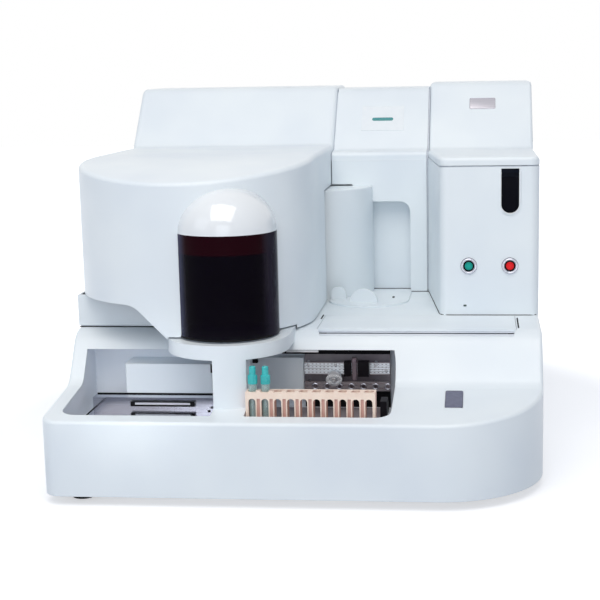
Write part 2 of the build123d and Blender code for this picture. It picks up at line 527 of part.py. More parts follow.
def make_bottle_well(envelope, hollow):
    """The tub under the deck lid: ledge, finger recess, hinge pocket and bottle space."""
    rim = prism_z(deck_lid_plan(LID_GAP + SHEET), (DECK_LEDGE_Z - SHEET, DECK_Z)) & hollow
    rim += prism_z(grip_plan(SHEET), (DECK_GRIP_Z - SHEET, DECK_Z)) & hollow
    pocket_x = DECK_LID_X[0] - LID_GAP, DECK_LID_X[1] + LID_GAP
    pocket_y = DECK_LID_PIN_Y - DECK_POCKET, DECK_LID_BACK_Y + LID_GAP
    rim += block((pocket_x[0] - SHEET, pocket_x[1] + SHEET), (pocket_y[0] - SHEET, pocket_y[1] + SHEET),
                 (DECK_PIN_Z - DECK_POCKET - SHEET, DECK_Z - SKIN))
    tub = rim + bottle_well_box(SHEET) & hollow
    tub -= prism_z(deck_lid_plan(LID_GAP), (DECK_LEDGE_Z, DECK_Z))
    tub -= prism_z(grip_plan(), (DECK_GRIP_Z, DECK_Z))
    tub -= block(pocket_x, pocket_y, (DECK_PIN_Z - DECK_POCKET, DECK_Z))
    tub -= bottle_well_box()
    return tub - rod_x((DECK_LID_X[0] - SKIN, DECK_LID_X[1] + SKIN), DECK_LID_PIN_Y, DECK_PIN_Z,
                       DECK_LID_PIN_R + SHAFT_GAP)


def make_main_lid(envelope):
    """The drum lid: one moulded shell with a window opening and a finger cut-out."""
    side = offset(drum_side(), amount=-SKIN)
    under = block((LEFT, RIGHT), (FRONT, BACK), (DRUM_LOW_Z - 1, DRUM_LOW_Z + SKIN + 1))
    inner = prism_z(drum_plan(SKIN), (DRUM_LOW_Z - 1, LID_TOP_Z)) & (prism_x(side, (LEFT, RIGHT)) + under)
    lid = envelope - inner
    grip = outline([(LEFT - 1, DRUM_LOW_Z - 1), (GRIP_X + GRIP_RUN, DRUM_LOW_Z - 1), (GRIP_X, GRIP_Z),
                    (LEFT - 1, GRIP_Z)], [0, 0, GRIP_R, 0])
    lid -= prism_y(grip, (FRONT, BACK + 1))
    lid -= prism_z(seat_plan(RUN_GAP), (DRUM_LOW_Z - 1, SEAT_TOP_Z + RUN_GAP))
    lid -= rod_z(WINDOW_X, WINDOW_Y, (DRUM_LOW_Z - 1, WINDOW_TOP_Z), WINDOW_R)
    lid -= block((DRUM_RIGHT_X - 2 * SKIN, DRUM_RIGHT_X + 1), (NOTCH_Y, BACK + 1), (DRUM_LOW_Z - 1, NOTCH_Z))
    panel = LEFT + SKIN, DRUM_RIGHT_X + 1
    lid -= block(panel, (REAR_Y - RUN_GAP, BACK + 1), (DRUM_LOW_Z - 1, HOOD_OPEN_Z))
    return lid + hinge_lugs(LID_HINGES, LID_TOP_Z - SKIN)


def hinge_lugs(places, top):
    """Lugs under a lid that turn on the hinge pins."""
    lugs = []
    for x in places:
        lug = block((x - HINGE_WIDTH / 2, x + HINGE_WIDTH / 2), (HINGE_Y - HINGE_R, HINGE_Y + HINGE_R),
                    (HINGE_Z, top + 0.5))
        lug += rod_x((x - HINGE_WIDTH / 2, x + HINGE_WIDTH / 2), HINGE_Y, HINGE_Z, HINGE_R)
        lugs.append(lug - rod_x((x - HINGE_WIDTH, x + HINGE_WIDTH), HINGE_Y, HINGE_Z, PIN_R + SHAFT_GAP))
    return lugs


def make_hinges():
    """Fixed hinge arms on the rear panel, a pair with its pin on both sides of each lug."""
    arms = []
    for x in LID_HINGES + COVER_HINGES:
        for side in (-1, 1):
            near = x + side * (HINGE_WIDTH / 2 + RUN_GAP / 2)
            span = sorted((near, near + side * HINGE_ARM))
            foot = REAR_TOP_Z - HINGE_FOOT
            arm = block(span, (HINGE_Y - HINGE_R + LAP, HINGE_Y + HINGE_R - LAP), (foot, HINGE_Z))
            arm += block(span, (HINGE_Y, REAR_Y), (foot, REAR_TOP_Z - SHEET))
            arm += rod_x(span, HINGE_Y, HINGE_Z, HINGE_R - LAP)
            arms.append(arm)
        half = HINGE_WIDTH / 2 + RUN_GAP / 2 + HINGE_ARM
        arms.append(arms.pop() + arms.pop() + rod_x((x - half, x + half), HINGE_Y, HINGE_Z, PIN_R))
    return group(arms)


def make_window(envelope):
    """The smoked window: the part of an upright cylinder that stands out of the drum."""
    z = SEAT_TOP_Z + RUN_GAP, WINDOW_TOP_Z
    tube = rod_z(WINDOW_X, WINDOW_Y, z, WINDOW_R) - rod_z(WINDOW_X, WINDOW_Y, z, WINDOW_R - WINDOW_WALL)
    front = block((LEFT, RIGHT), (FRONT, WINDOW_Y + WINDOW_R / 2), z)
    return (tube & front) - envelope


def make_dome(envelope):
    """The white dome over the window, a half ellipsoid shell seated on the drum."""
    shell = dome_body() - dome_body(WINDOW_WALL)
    return (shell & block((LEFT, RIGHT), (FRONT, BACK), (WINDOW_TOP_Z, LID_TOP_Z))) - envelope


def make_seat(envelope):
    """The fixed ring under the window with its column down to the shelf."""
    ring = prism_z(seat_plan(), (SEAT_LOW_Z, SEAT_TOP_Z))
    ring -= prism_z(seat_plan(SEAT_INNER_R - SEAT_R), (SEAT_LOW_Z - 1, SEAT_TOP_Z + 1))
    ring -= block((LEFT, RIGHT), (SEAT_BACK_Y, BACK), (SEAT_LOW_Z - 1, SEAT_TOP_Z + 1))
    column = rod_z(WINDOW_X, WINDOW_Y, (LIP_Z, SEAT_LOW_Z + SKIN), SEAT_R)
    column &= block(BRIDGE_X, (WINDOW_Y - SEAT_R, LANE_FRONT_Y), (LIP_Z, SEAT_LOW_Z + SKIN))
    return ring + column - envelope


def make_sill():
    """The fixed inner sill behind the finger cut-out of the drum lid."""
    z = DECK_Z, GRIP_Z - RUN_GAP + 0.5
    front = block((LEFT, SILL_END_X), (SILL_Y, SILL_Y + SKIN), (z[0] + RUN_GAP, z[1]))
    side = block((LEFT, LEFT + SKIN), (SILL_Y, REAR_Y), (z[0] + RUN_GAP, z[1]))
    foot = block((LEFT + SKIN / 2, LEFT + 3 * SKIN), (SILL_Y + SKIN, REAR_Y), (z[0], z[0] + SKIN))
    foot += block((LEFT + SKIN, SILL_END_X), (SILL_Y + SKIN / 2, SILL_Y + 3 * SKIN), (z[0], z[0] + SKIN))
    lip = block((LEFT + SKIN, LEFT + 1.5 * SKIN), (DRUM_CENTRE_Y, REAR_Y), (z[0], z[1] + SKIN))
    lip &= prism_z(drum_plan(SKIN + SLIDE_GAP), (z[0], z[1] + SKIN))
    return front + side + foot + lip - block((LEFT, RIGHT), (REAR_Y - RUN_GAP, BACK), (z[0], z[1] + SKIN))


def niche_face(grow=0.0):
    """Front view of the opening in the centre wall."""
    left, right = CENTRE_X[0] - grow, NICHE_X + grow
    low = outline([(left, DECK_Z), (right, DECK_Z), (right, NICHE_TOP_Z + grow), (left, NICHE_TOP_Z + grow)],
                  [0, 0, NICHE_R + grow, 0])
    step = outline([(left, DECK_Z), (NICHE_STEP_X + grow, DECK_Z), (NICHE_STEP_X + grow, NOTCH_Z + grow),
                    (left, NOTCH_Z + grow)], [0, 0, CORNER_R, 0])
    return low + step


def make_centre_wall():
    """The recessed wall between the lids with its niche and two partitions."""
    top = CENTRE_LOW_Z
    wall = block(CENTRE_X, (WALL_Y, WALL_Y + SKIN), (DECK_Z, top))
    wall += prism_y(niche_face(SKIN) & Pos(*centre_of(CENTRE_X, (DECK_Z, top))) * Rectangle(
        CENTRE_X[1] - CENTRE_X[0], top - DECK_Z), (WALL_Y, WALL_Y + NICHE_DEPTH + SKIN))
    wall -= prism_y(niche_face(), (WALL_Y - 1, WALL_Y + NICHE_DEPTH))
    for x in ((CENTRE_X[0], CENTRE_X[0] + SKIN), (CENTRE_X[1] - SKIN, CENTRE_X[1])):
        wall += block(x, (WALL_Y + NICHE_DEPTH, REAR_Y), (DECK_Z, top))
    wall += block((CENTRE_X[1] - SKIN, CENTRE_X[1]), (WALL_Y, REAR_Y), (DECK_Z, top))
    return wall - rod_z(DETECTOR_X, DETECTOR_Y, (DECK_Z, DETECTOR_TOP_Z), DETECTOR_R)


def centre_of(x, y):
    """Middle of two spans."""
    return (x[0] + x[1]) / 2, (y[0] + y[1]) / 2


def make_detector():
    """The round detector housing beside the niche."""
    body = rod_z(DETECTOR_X, DETECTOR_Y, (DECK_Z, DETECTOR_TOP_Z), DETECTOR_R)
    body = fillet(body.edges().group_by(Axis.Z)[-1], CORNER_R)
    return body - rod_z(DETECTOR_X, DETECTOR_Y, (DECK_Z, DETECTOR_TOP_Z - SKIN), DETECTOR_R - SKIN)


def centre_side():
    """Side view of the centre hood."""
    front = WALL_Y + SKIN / 2
    points = [(front, CENTRE_LOW_Z), (front, CENTRE_SHELF_Z), (CREST_Y, CREST_Z)]
    return hood_side(points, [0, LIP_R, CREST_R], CENTRE_TOP_Z, CENTRE_LOW_Z)


def make_centre_hood():
    """The fixed hood between the two lids."""
    hood = prism_x(centre_side(), CENTRE_X)
    inner = offset(centre_side(), amount=-SKIN)
    under = block(CENTRE_X, (WALL_Y + SKIN * 1.5, REAR_Y), (CENTRE_LOW_Z - 1, CENTRE_LOW_Z + 2 * SKIN))
    hollow = prism_x(inner, CENTRE_X) + under
    hood -= hollow & block((CENTRE_X[0] + SKIN, CENTRE_X[1] - SKIN), (FRONT, BACK), (DECK_Z, LID_TOP_Z))
    return hood - block(CENTRE_X, (REAR_Y, BACK + 1), (CENTRE_LOW_Z - 1, REAR_TOP_Z))


def on_slope(shape, x, along):
    """Place a shape on the slope of the centre hood, at a distance up from the crest."""
    angle = radians(HOOD_ANGLE)
    return Pos(x, CREST_Y + along * cos(angle), CREST_Z + along * sin(angle)) * Rot(HOOD_ANGLE, 0, 0) * shape


def make_indicator_plate():
    """The thin plate on the centre hood."""
    return on_slope(extrude(Rectangle(*PLATE_SIZE), amount=PLATE_PROUD), PLATE_X, PLATE_ALONG)


def make_indicator_light():
    """The round ended light bar on the plate."""
    bar = extrude(Pos(0, 0, PLATE_PROUD) * SlotOverall(*LIGHT_SIZE), amount=PLATE_PROUD)
    return on_slope(bar, PLATE_X, PLATE_ALONG + LIGHT_SHIFT)


def make_tower():
    """The fixed tower panel with its window slot and button holes."""
    tower = prism_z(tower_plan(0, REAR_Y), (DECK_Z, TOWER_TOP_Z))
    tower -= prism_z(tower_plan(SKIN, REAR_Y + 1), (DECK_Z - 1, TOWER_TOP_Z + 1))
    tower += prism_y(slot_face(SLOT_RIM), (TOWER_FRONT_Y - SLOT_PROUD, TOWER_FRONT_Y + 1))
    tower -= prism_y(slot_face(), (TOWER_FRONT_Y - SKIN, TOWER_FRONT_Y + SKIN + 1))
    for x in (START_X, STOP_X):
        tower -= rod_y(x, (TOWER_FRONT_Y - 1, TOWER_FRONT_Y + SKIN + 1), BUTTON_Z, COLLAR_R)
    return tower


def slot_face(grow=0.0):
    """Front view of the tall window slot with its round bottom."""
    half = SLOT_WIDTH / 2 + grow
    return outline([(SLOT_X - half, SLOT_LOW_Z - grow), (SLOT_X + half, SLOT_LOW_Z - grow),
                    (SLOT_X + half, SLOT_TOP_Z + grow), (SLOT_X - half, SLOT_TOP_Z + grow)],
                   [half - 0.1, half - 0.1, CORNER_R, CORNER_R])


def make_slot_window():
    """The smoked pane behind the tower slot."""
    return prism_y(slot_face(SLOT_RIM), (TOWER_FRONT_Y + SKIN, TOWER_FRONT_Y + SKIN + SHEET))


def make_button_bezels():
    """Flat rings round both buttons."""
    y = TOWER_FRONT_Y - BEZEL_THICK, TOWER_FRONT_Y
    return group(rod_y(x, y, BUTTON_Z, BEZEL_R) - rod_y(x, (y[0] - 1, y[1] + 1), BUTTON_Z, COLLAR_R)
                 for x in (START_X, STOP_X))


def make_button_sleeves():
    """Black sleeves through the tower front that guide the buttons, with their switch blocks."""
    y = TOWER_FRONT_Y - BEZEL_THICK, TOWER_FRONT_Y + SLEEVE_DEPTH
    sleeves = []
    for x in (START_X, STOP_X):
        sleeve = rod_y(x, y, BUTTON_Z, COLLAR_R) - rod_y(x, (y[0] - 1, y[1]), BUTTON_Z, BUTTON_R + SHAFT_GAP)
        sleeves.append(sleeve + block((x - COLLAR_R, x + COLLAR_R), (y[1], y[1] + SWITCH_DEPTH),
                                      (BUTTON_Z - COLLAR_R, BUTTON_Z + COLLAR_R)))
    return group(sleeves)


def make_button(x):
    """A push button with a slightly domed face."""
    low = TOWER_FRONT_Y - BUTTON_PROUD
    button = rod_y(x, (low, TOWER_FRONT_Y + SLEEVE_DEPTH - BUTTON_TRAVEL - SLIDE_GAP), BUTTON_Z, BUTTON_R)
    return fillet(button.edges().group_by(Axis.Y)[0], BUTTON_EDGE_R)


def cover_side(lip=0.0):
    """Side view of the tower's hinged cover."""
    points = [(TOWER_FRONT_Y, TOWER_TOP_Z + RUN_GAP), (TOWER_FRONT_Y, TOWER_SHELF_Z), (CREST_Y, CREST_Z)]
    return hood_side(points, [0, lip, CREST_R], COVER_TOP_Z, TOWER_TOP_Z + RUN_GAP)


def make_hopper_cover():
    """The hinged cover of the tower with its own hood."""
    low = TOWER_TOP_Z + RUN_GAP
    body = prism_z(tower_plan(), (low, COVER_TOP_Z)) & prism_x(cover_side(), (LEFT, RIGHT))
    body = fillet(rims(body, low + SHEET, TOWER_FRONT_Y, BACK - 0.1), COVER_EDGE_R)
    side = prism_x(offset(cover_side(LIP_R), amount=-SKIN), (LEFT, RIGHT))
    under = block((LEFT, RIGHT), (FRONT, BACK), (low - 1, low + SKIN + 1))
    cover = body - (prism_z(tower_plan(SKIN, BACK - SKIN), (low - 1, COVER_TOP_Z)) & (side + under))
    cover -= block((LEFT, RIGHT - SKIN), (REAR_Y - RUN_GAP, BACK + 1), (low - 1, HOOD_OPEN_Z))
    return cover + hinge_lugs(COVER_HINGES, COVER_TOP_Z - SKIN)


def make_deck_lid(envelope):
    """The flat lid in the deck with stub pins at its back corners."""
    x, y = DECK_LID_X, (DECK_LID_FRONT_Y, DECK_LID_BACK_Y)
    lid = block(x, y, (DECK_Z - DECK_LID_THICK, DECK_Z)) & envelope
    pin_x = x[0] - LID_GAP - SHEET + 0.2, x[1] + LID_GAP + SHEET - 0.2
    return lid + rod_x(pin_x, DECK_LID_PIN_Y, DECK_PIN_Z, DECK_LID_PIN_R)


def make_bottles():
    """Square bottles standing in the well under the deck lid."""
    start = DECK_LID_X[0] + BOTTLE_WELL_INSET
    pitch = (DECK_LID_X[1] - DECK_LID_X[0] - 2 * BOTTLE_WELL_INSET) / BOTTLE_COUNT
    y, low = (DECK_LID_FRONT_Y + DECK_LID_BACK_Y) / 2, BOTTLE_WELL_FLOOR_Z
    half = BOTTLE_SIDE / 2
    bottles = []
    for index in range(BOTTLE_COUNT):
        x = start + pitch * (index + 0.5)
        body = block((x - half, x + half), (y - half, y + half), (low, low + BOTTLE_HEIGHT))
        body = fillet(body.edges().filter_by(Axis.Z), BOTTLE_EDGE_R)
        bottles.append(body + rod_z(x, y, (low, low + BOTTLE_HEIGHT + BOTTLE_NECK), half / 2))
    return group(bottles)


def make_analysis_deck():
    """The plate under the drum lid with the rotor bowl hung below it."""
    x, y = DECK_PLATE_X, DECK_PLATE_Y
    face = outline([(x[0], y[0]), (x[1], y[0]), (x[1], y[1]), (x[0], y[1])],
                   [DECK_PLATE_FRONT_R, DECK_PLATE_FRONT_R, DECK_PLATE_R, DECK_PLATE_R])
    face -= Pos(DETECTOR_X, DETECTOR_Y) * Circle(DETECTOR_R + RUN_GAP)
    deck = prism_z(face, (DECK_Z, DECK_Z + PLATE_THICK))
    deck += rod_z(ROTOR_X, ROTOR_Y, (BOWL_FLOOR_Z - SHEET, DECK_Z + PLATE_THICK), BOWL_R + SHEET)
    deck -= rod_z(ROTOR_X, ROTOR_Y, (BOWL_FLOOR_Z, DECK_Z + PLATE_THICK + 1), BOWL_R)
    deck -= rod_z(*PORT, (DECK_Z - 1, DECK_Z + PLATE_THICK + 1), PORT_R)
    for post in (SAMPLE_POST, REAGENT_POST):
        deck -= rod_z(*post, (DECK_Z - 1, DECK_Z + PLATE_THICK + 1), BUSH_R)
    return deck


def make_guides():
    """Steel guides in the deck: the rotor's spindle and the flanged bushes of both arm posts."""
    seat = rod_z(ROTOR_X, ROTOR_Y, (BOWL_FLOOR_Z, BOWL_FLOOR_Z + SEAT_THICK), 2 * SPINDLE_R)
    guides = [seat + rod_z(ROTOR_X, ROTOR_Y, (BOWL_FLOOR_Z, ROTOR_Z + ROTOR_THICK + SHEET), SPINDLE_R)]
    top = DECK_Z + PLATE_THICK
    for x, y in (SAMPLE_POST, REAGENT_POST):
        bush = rod_z(x, y, (BUSH_LOW_Z, top), BUSH_R)
        bush += rod_z(x, y, (top, top + SEAT_THICK), BUSH_R + BUSH_FLANGE)
        guides.append(bush - rod_z(x, y, (BUSH_LOW_Z - LAP, top + 2 * SEAT_THICK), POST_R + SHAFT_GAP))
    return group(guides)


def make_rotor():
    """The reaction rotor with a ring of cuvette holes and a holed web."""
    top = ROTOR_Z + ROTOR_THICK
    rotor = rod_z(ROTOR_X, ROTOR_Y, (ROTOR_Z, top), ROTOR_R)
    rotor -= rod_z(ROTOR_X, ROTOR_Y, (ROTOR_Z + ROTOR_WEB, top + LAP), CUVETTE_RING_R - ROTOR_RIM)
    rotor += rod_z(ROTOR_X, ROTOR_Y, (BOWL_FLOOR_Z + SEAT_THICK + SLIDE_GAP, top - SHEET), 2.5 * SPINDLE_R)
    for index in range(CUVETTE_COUNT):
        rotor -= rod_z(*cuvette(index), (ROTOR_Z - LAP, top + LAP), CUVETTE_R)
    for index in range(WEB_HOLES):
        angle = 2 * pi * (index + 0.5) / WEB_HOLES
        rotor -= rod_z(ROTOR_X + WEB_RING_R * cos(angle), ROTOR_Y + WEB_RING_R * sin(angle),
                       (ROTOR_Z - LAP, top), WEB_HOLE_R)
    return rotor - rod_z(ROTOR_X, ROTOR_Y, (BOWL_FLOOR_Z, top + LAP), SPINDLE_R + SHAFT_GAP)


def make_lift(post):
    """The lifting post of an arm, with a shoulder and a thin pivot on top."""
    lift = rod_z(*post, (BUSH_LOW_Z - SHEET, ARM_Z - SLIDE_GAP), POST_R)
    return lift + rod_z(*post, (ARM_Z - SLIDE_GAP, ARM_Z + ARM_THICK - PIVOT_TOP), PIVOT_R)


def make_arm(post, target):
    """A tapered arm cover from the post to its target."""
    length = hypot(target[0] - post[0], target[1] - post[1])
    angle = degrees(atan2(target[1] - post[1], target[0] - post[0]))
    wide, tip = ARM_WIDTH / 2, ARM_TIP
    bar = outline([(0, -wide), (length, -tip), (length, tip), (0, wide)], [0, 0, 0, 0])
    arm = prism_z(bar + Circle(wide) + Pos(length, 0) * Circle(tip), (0, ARM_THICK))
    arm = fillet(arm.edges().group_by(Axis.Z)[-1], CORNER_R)
    arm -= rod_z(0, 0, (-LAP, ARM_THICK - PIVOT_TOP + SLIDE_GAP), PIVOT_R + SHAFT_GAP)
    arm -= rod_z(length, 0, (-LAP, ARM_THICK + LAP), PROBE_R)
    return Pos(*post, ARM_Z) * Rot(0, 0, angle) * arm


def make_probe(target):
    """A steel probe with its tapered tip, held in the end of an arm."""
    top = ARM_Z + ARM_THICK
    probe = rod_z(*target, (PROBE_LOW_Z + PROBE_TIP, top + PROBE_TOP), PROBE_R)
    tip = Pos(*target, PROBE_LOW_Z + PROBE_TIP / 2) * Cone(PROBE_R / 3, PROBE_R, PROBE_TIP)
    return probe + tip + rod_z(*target, (top, top + PROBE_TOP), 2.5 * PROBE_R)


def make_wash_station():
    """The wash station over the rotor rim, with four thin nozzles."""
    x, y, half = WASH_X, WASH_Y, WASH_POST
    turn = radians(WASH_ANGLE)
    over = ROTOR_X + CUVETTE_RING_R * cos(turn), ROTOR_Y + CUVETTE_RING_R * sin(turn)
    station = block((x - half, x + half), (y - half, y + half), (DECK_Z + PLATE_THICK, WASH_Z))
    way, reach = degrees(atan2(over[1] - y, over[0] - x)), hypot(over[0] - x, over[1] - y) + WASH_REACH
    head = block((-half, reach), (-WASH_HALF, WASH_HALF), (0, WASH_HEIGHT))
    station += Pos(x, y, WASH_Z) * Rot(0, 0, way) * head
    for index in range(WASH_NOZZLES):
        angle = turn + (index - (WASH_NOZZLES - 1) / 2) * 2 * pi / CUVETTE_COUNT
        nozzle = ROTOR_X + CUVETTE_RING_R * cos(angle), ROTOR_Y + CUVETTE_RING_R * sin(angle)
        station += rod_z(*nozzle, (ROTOR_Z + ROTOR_THICK + WASH_NOZZLE_GAP, WASH_Z + LAP), WASH_NOZZLE_R)
    return station


def make_pump_cover():
    """The louvred cover over the pumps at the back under the drum lid."""
    cover = block(PUMP_X, PUMP_Y, (DECK_Z, PUMP_TOP_Z))
    cover = fillet(cover.edges().filter_by(Axis.Z) + cover.edges().group_by(Axis.Z)[-1], PUMP_EDGE_R)
    inside = block((PUMP_X[0] + SHEET, PUMP_X[1] - SHEET), (PUMP_Y[0] + SHEET, PUMP_Y[1] - SHEET),
                   (DECK_Z - LAP, PUMP_TOP_Z - SHEET))
    x, y = (PUMP_VENT_X, PUMP_VENT_X + PUMP_VENT[0]), (PUMP_Y[0] - LAP, PUMP_Y[0] + SHEET + LAP)
    for index in range(PUMP_VENTS):
        z = PUMP_TOP_Z - PUMP_VENT_DROP - PUMP_VENT_PITCH * index
        inside += block(x, y, (z, z + PUMP_VENT[1]))
    return cover - inside


def make_reagent_well():
    """The cooled cup under the reagent cover, with the spindle of the table."""
    top = DECK_Z - SKIN
    well = rod_z(TABLE_X, TABLE_Y, (WELL_FLOOR_Z - SHEET, top), WELL_R)
    well -= rod_z(TABLE_X, TABLE_Y, (WELL_FLOOR_Z, top + LAP), WELL_R - SHEET)
    well += rod_z(TABLE_X, TABLE_Y, (WELL_FLOOR_Z, WELL_FLOOR_Z + SEAT_THICK), 2 * SPINDLE_R)
    return well + rod_z(TABLE_X, TABLE_Y, (WELL_FLOOR_Z, TABLE_Z + HUB_HEIGHT + SHEET), SPINDLE_R)


def make_table():
    """The turning reagent table with its hub."""
    table = rod_z(TABLE_X, TABLE_Y, (TABLE_Z, TABLE_Z + TABLE_THICK), TABLE_R)
    low = WELL_FLOOR_Z + SEAT_THICK + SLIDE_GAP
    table += rod_z(TABLE_X, TABLE_Y, (low, TABLE_Z + HUB_HEIGHT), 2.5 * SPINDLE_R)
    return table - rod_z(TABLE_X, TABLE_Y, (WELL_FLOOR_Z, TABLE_Z + HUB_HEIGHT + LAP), SPINDLE_R + SHAFT_GAP)


def make_vials():
    """Open reagent vials in a ring on the table."""
    low = TABLE_Z + TABLE_THICK
    vials = []
    for index in range(VIAL_COUNT):
        angle = 2 * pi * index / VIAL_COUNT
        x, y = TABLE_X + VIAL_RING_R * cos(angle), TABLE_Y + VIAL_RING_R * sin(angle)
        vial = rod_z(x, y, (low, low + VIAL_HEIGHT), VIAL_R)
        vials.append(vial - rod_z(x, y, (low + SHEET, low + VIAL_HEIGHT + LAP), VIAL_R - VIAL_WALL))
    return group(vials)


def make_reagent_cover():
    """The lift-off cover of the reagent table with two half round finger tabs."""
    cover = prism_z(cover_plan(), (DECK_Z, DECK_Z + COVER_THICK))
    plug = well_mouth_inner(SLIDE_GAP) - well_mouth_inner(SLIDE_GAP + SHEET)
    cover += prism_z(plug, (DECK_Z - SKIN, DECK_Z + LAP))
    for x, y, width, height, turn in TABS:
        arch = Pos(0, height - width / 2) * Circle(width / 2) & Pos(0, height / 2) * Rectangle(width, height)
        if height > width / 2:
            arch += Pos(0, (height - width / 2) / 2) * Rectangle(width, height - width / 2)
        tab = prism_y(arch, (-TAB_THICK / 2, TAB_THICK / 2))
        cover += Pos(x, y, DECK_Z + COVER_THICK) * Rot(0, 0, turn) * tab
    return cover


def well_mouth_inner(inset):
    """The opening over the reagent table, drawn in by a gap."""
    return cover_plan(COVER_LIP + inset) & Pos(TABLE_X, TABLE_Y) * Circle(WELL_R - SHEET - inset)


def make_readers():
    """The two white units at the back of the pools."""
    units = [block(READER_X, READER_Y, above(LEFT_FLOOR_Z, READER_RISE))]
    units.append(block(LANE_READER_X, (POOL_BACK_Y - LANE_READER_DEPTH, POOL_BACK_Y),
                       above(RIGHT_FLOOR_Z, LANE_READER_RISE)))
    return group(fillet(unit.edges().filter_by(Axis.Z), READER_EDGE_R) for unit in units)


def make_return_tray():
    """The bright metal floor of the return pool with its raised strip."""
    x, y = (POOL_LEFT_X + TRAY_SIDE, BRIDGE_X[0] - LAP), (POOL_FRONT_Y + TRAY_FRONT, READER_Y[0] - LAP)
    tray = block(x, y, (LEFT_FLOOR_Z, LEFT_FLOOR_Z + SHEET))
    for side in (x[0], x[1] - SHEET):
        tray += block((side, side + SHEET), y, (RIGHT_FLOOR_Z, LEFT_FLOOR_Z + LAP))
    tray += block(x, (STRIP_Y, STRIP_Y + SHEET), (LEFT_FLOOR_Z, STRIP_TOP_Z))
    tray += block(x, (STRIP_Y, y[1]), (STRIP_TOP_Z - SHEET, STRIP_TOP_Z))
    return tray - block((PUSHER_X[0] - LAP, PUSHER_X[1] + LAP), (STRIP_Y - LAP, STRIP_Y + SHEET + LAP),
                        above(LEFT_FLOOR_Z, PUSHER_RISE))


def make_pusher():
    """The white bar that slides out of the strip to push racks forward."""
    low = LEFT_FLOOR_Z + PUSHER_RISE[0] + SLIDE_GAP
    return block(PUSHER_X, (STRIP_Y + SHEET - PUSHER_NOSE - SHEET, READER_Y[0] - 3 * LAP),
                 (low, low + PUSHER_THICK))


def make_back_plate():
    """The dark back plate of the loading pool."""
    y = POOL_BACK_Y - BACK_PLATE_OFF
    return block(BACK_PLATE_X, (y, y + SHEET), (RIGHT_FLOOR_Z, RIGHT_FLOOR_Z + BACK_PLATE_TOP))


def make_rails():
    """The bright strip and the hole rail of the loading pool, held off the back plate."""
    left, right = BACK_PLATE_X[0] + SEAM, BACK_PLATE_X[1]
    strip = block((left, right), (RAIL_Y, RAIL_Y + SHEET), above(RIGHT_FLOOR_Z, STRIP_SPAN))
    rail = block((left, right), (RAIL_Y, RAIL_Y + SHEET), above(RIGHT_FLOOR_Z, RAIL_SPAN))
    for index in range(RAIL_HOLES):
        x = BACK_PLATE_X[0] + RAIL_HOLE_START + RACK_PITCH * index
        rail -= rod_y(x, (RAIL_Y - LAP, RAIL_Y + SHEET + LAP), RIGHT_FLOOR_Z + RAIL_HOLE_RISE, RAIL_HOLE_R)
    y = RAIL_Y + SHEET, POOL_BACK_Y - BACK_PLATE_OFF
    for step in SPACER_IN:
        strip += rod_y(BACK_PLATE_X[0] + step, y, RIGHT_FLOOR_Z + STRIP_SPACER_RISE, SPACER_R)
        rail += rod_y(BACK_PLATE_X[0] + step, y, RIGHT_FLOOR_Z + RAIL_SPACER_RISE, SPACER_R)
    return group([strip, rail])


def make_sensors():
    """Sensor blocks, a bracket and a round roller on the strip, and the pawl at the end of the pool."""
    left, pieces = BACK_PLATE_X[0], []
    for step, width, depth, span in SENSOR_STEPS:
        x = left + step, left + step + width
        pieces.append(block(x, (RAIL_Y - depth, RAIL_Y), above(RIGHT_FLOOR_Z, span)))
    step, width, depth, span = BRACKET_STEP
    bracket = block((left + step, left + step + width), (RAIL_Y - depth, RAIL_Y), above(RIGHT_FLOOR_Z, span))
    radius, length, rise = BRACKET_PIN
    pieces.append(bracket + rod_y(left + step + width / 2, (RAIL_Y - depth - length, RAIL_Y - depth),
                                  RIGHT_FLOOR_Z + rise, radius))
    x, z = left + ROLLER_STEP, RIGHT_FLOOR_Z + ROLLER_RISE
    roller = rod_y(x, (RAIL_Y - 1.5 * ROLLER_THICK, RAIL_Y - ROLLER_THICK / 2), z, ROLLER_R)
    pieces.append(roller + rod_y(x, (RAIL_Y - ROLLER_THICK / 2, RAIL_Y), z + ROLLER_R / 2, SPACER_R))
    pieces.append(block(PAWL_X, PAWL_Y, (RIGHT_FLOOR_Z, RIGHT_FLOOR_Z + PAWL_RISE)))
    return group(pieces)


def make_rack():
    """The sample rack: ten bores behind arched windows, grooves between them and small tabs on top."""
    x = RACK_LEFT_X, RACK_LEFT_X + RACK_PITCH * RACK_COUNT
    y = RACK_FRONT_Y, RACK_FRONT_Y + RACK_WIDTH
    low = RIGHT_FLOOR_Z + SLIDE_GAP
    rack = block(x, y, (low, low + RACK_HEIGHT))
    for index in range(1, RACK_COUNT):
        rack += rack_tab(x[0] + RACK_PITCH * index, low + RACK_HEIGHT)
        rack -= rack_groove(x[0] + RACK_PITCH * index, low)
    for index in range(RACK_COUNT):
        middle = x[0] + RACK_PITCH * (index + 0.5)
        rack -= prism_y(rack_window(middle, low), (y[0] - LAP, y[1] + LAP))
        rack -= rod_z(middle, sum(y) / 2, (low + RACK_FLOOR, low + RACK_HEIGHT + LAP), RACK_BORE_R)
    return rack


def rack_window(middle, low):
    """Front view of one arched window of the rack."""
    half = RACK_WINDOW / 2
    left, right, bottom, top = middle - half, middle + half, low + RACK_WINDOW_LOW, low + RACK_WINDOW_TOP
    return outline([(left, bottom), (right, bottom), (right, top), (left, top)],
                   [0, 0, half - SHAFT_GAP, half - SHAFT_GAP])


def rack_groove(middle, low):
    """The upright groove in the front between two windows."""
    width, depth = RACK_GROOVE
    return block((middle - width / 2, middle + width / 2), (RACK_FRONT_Y - LAP, RACK_FRONT_Y + depth),
                 (low + RACK_WINDOW_LOW, low + RACK_WINDOW_TOP))


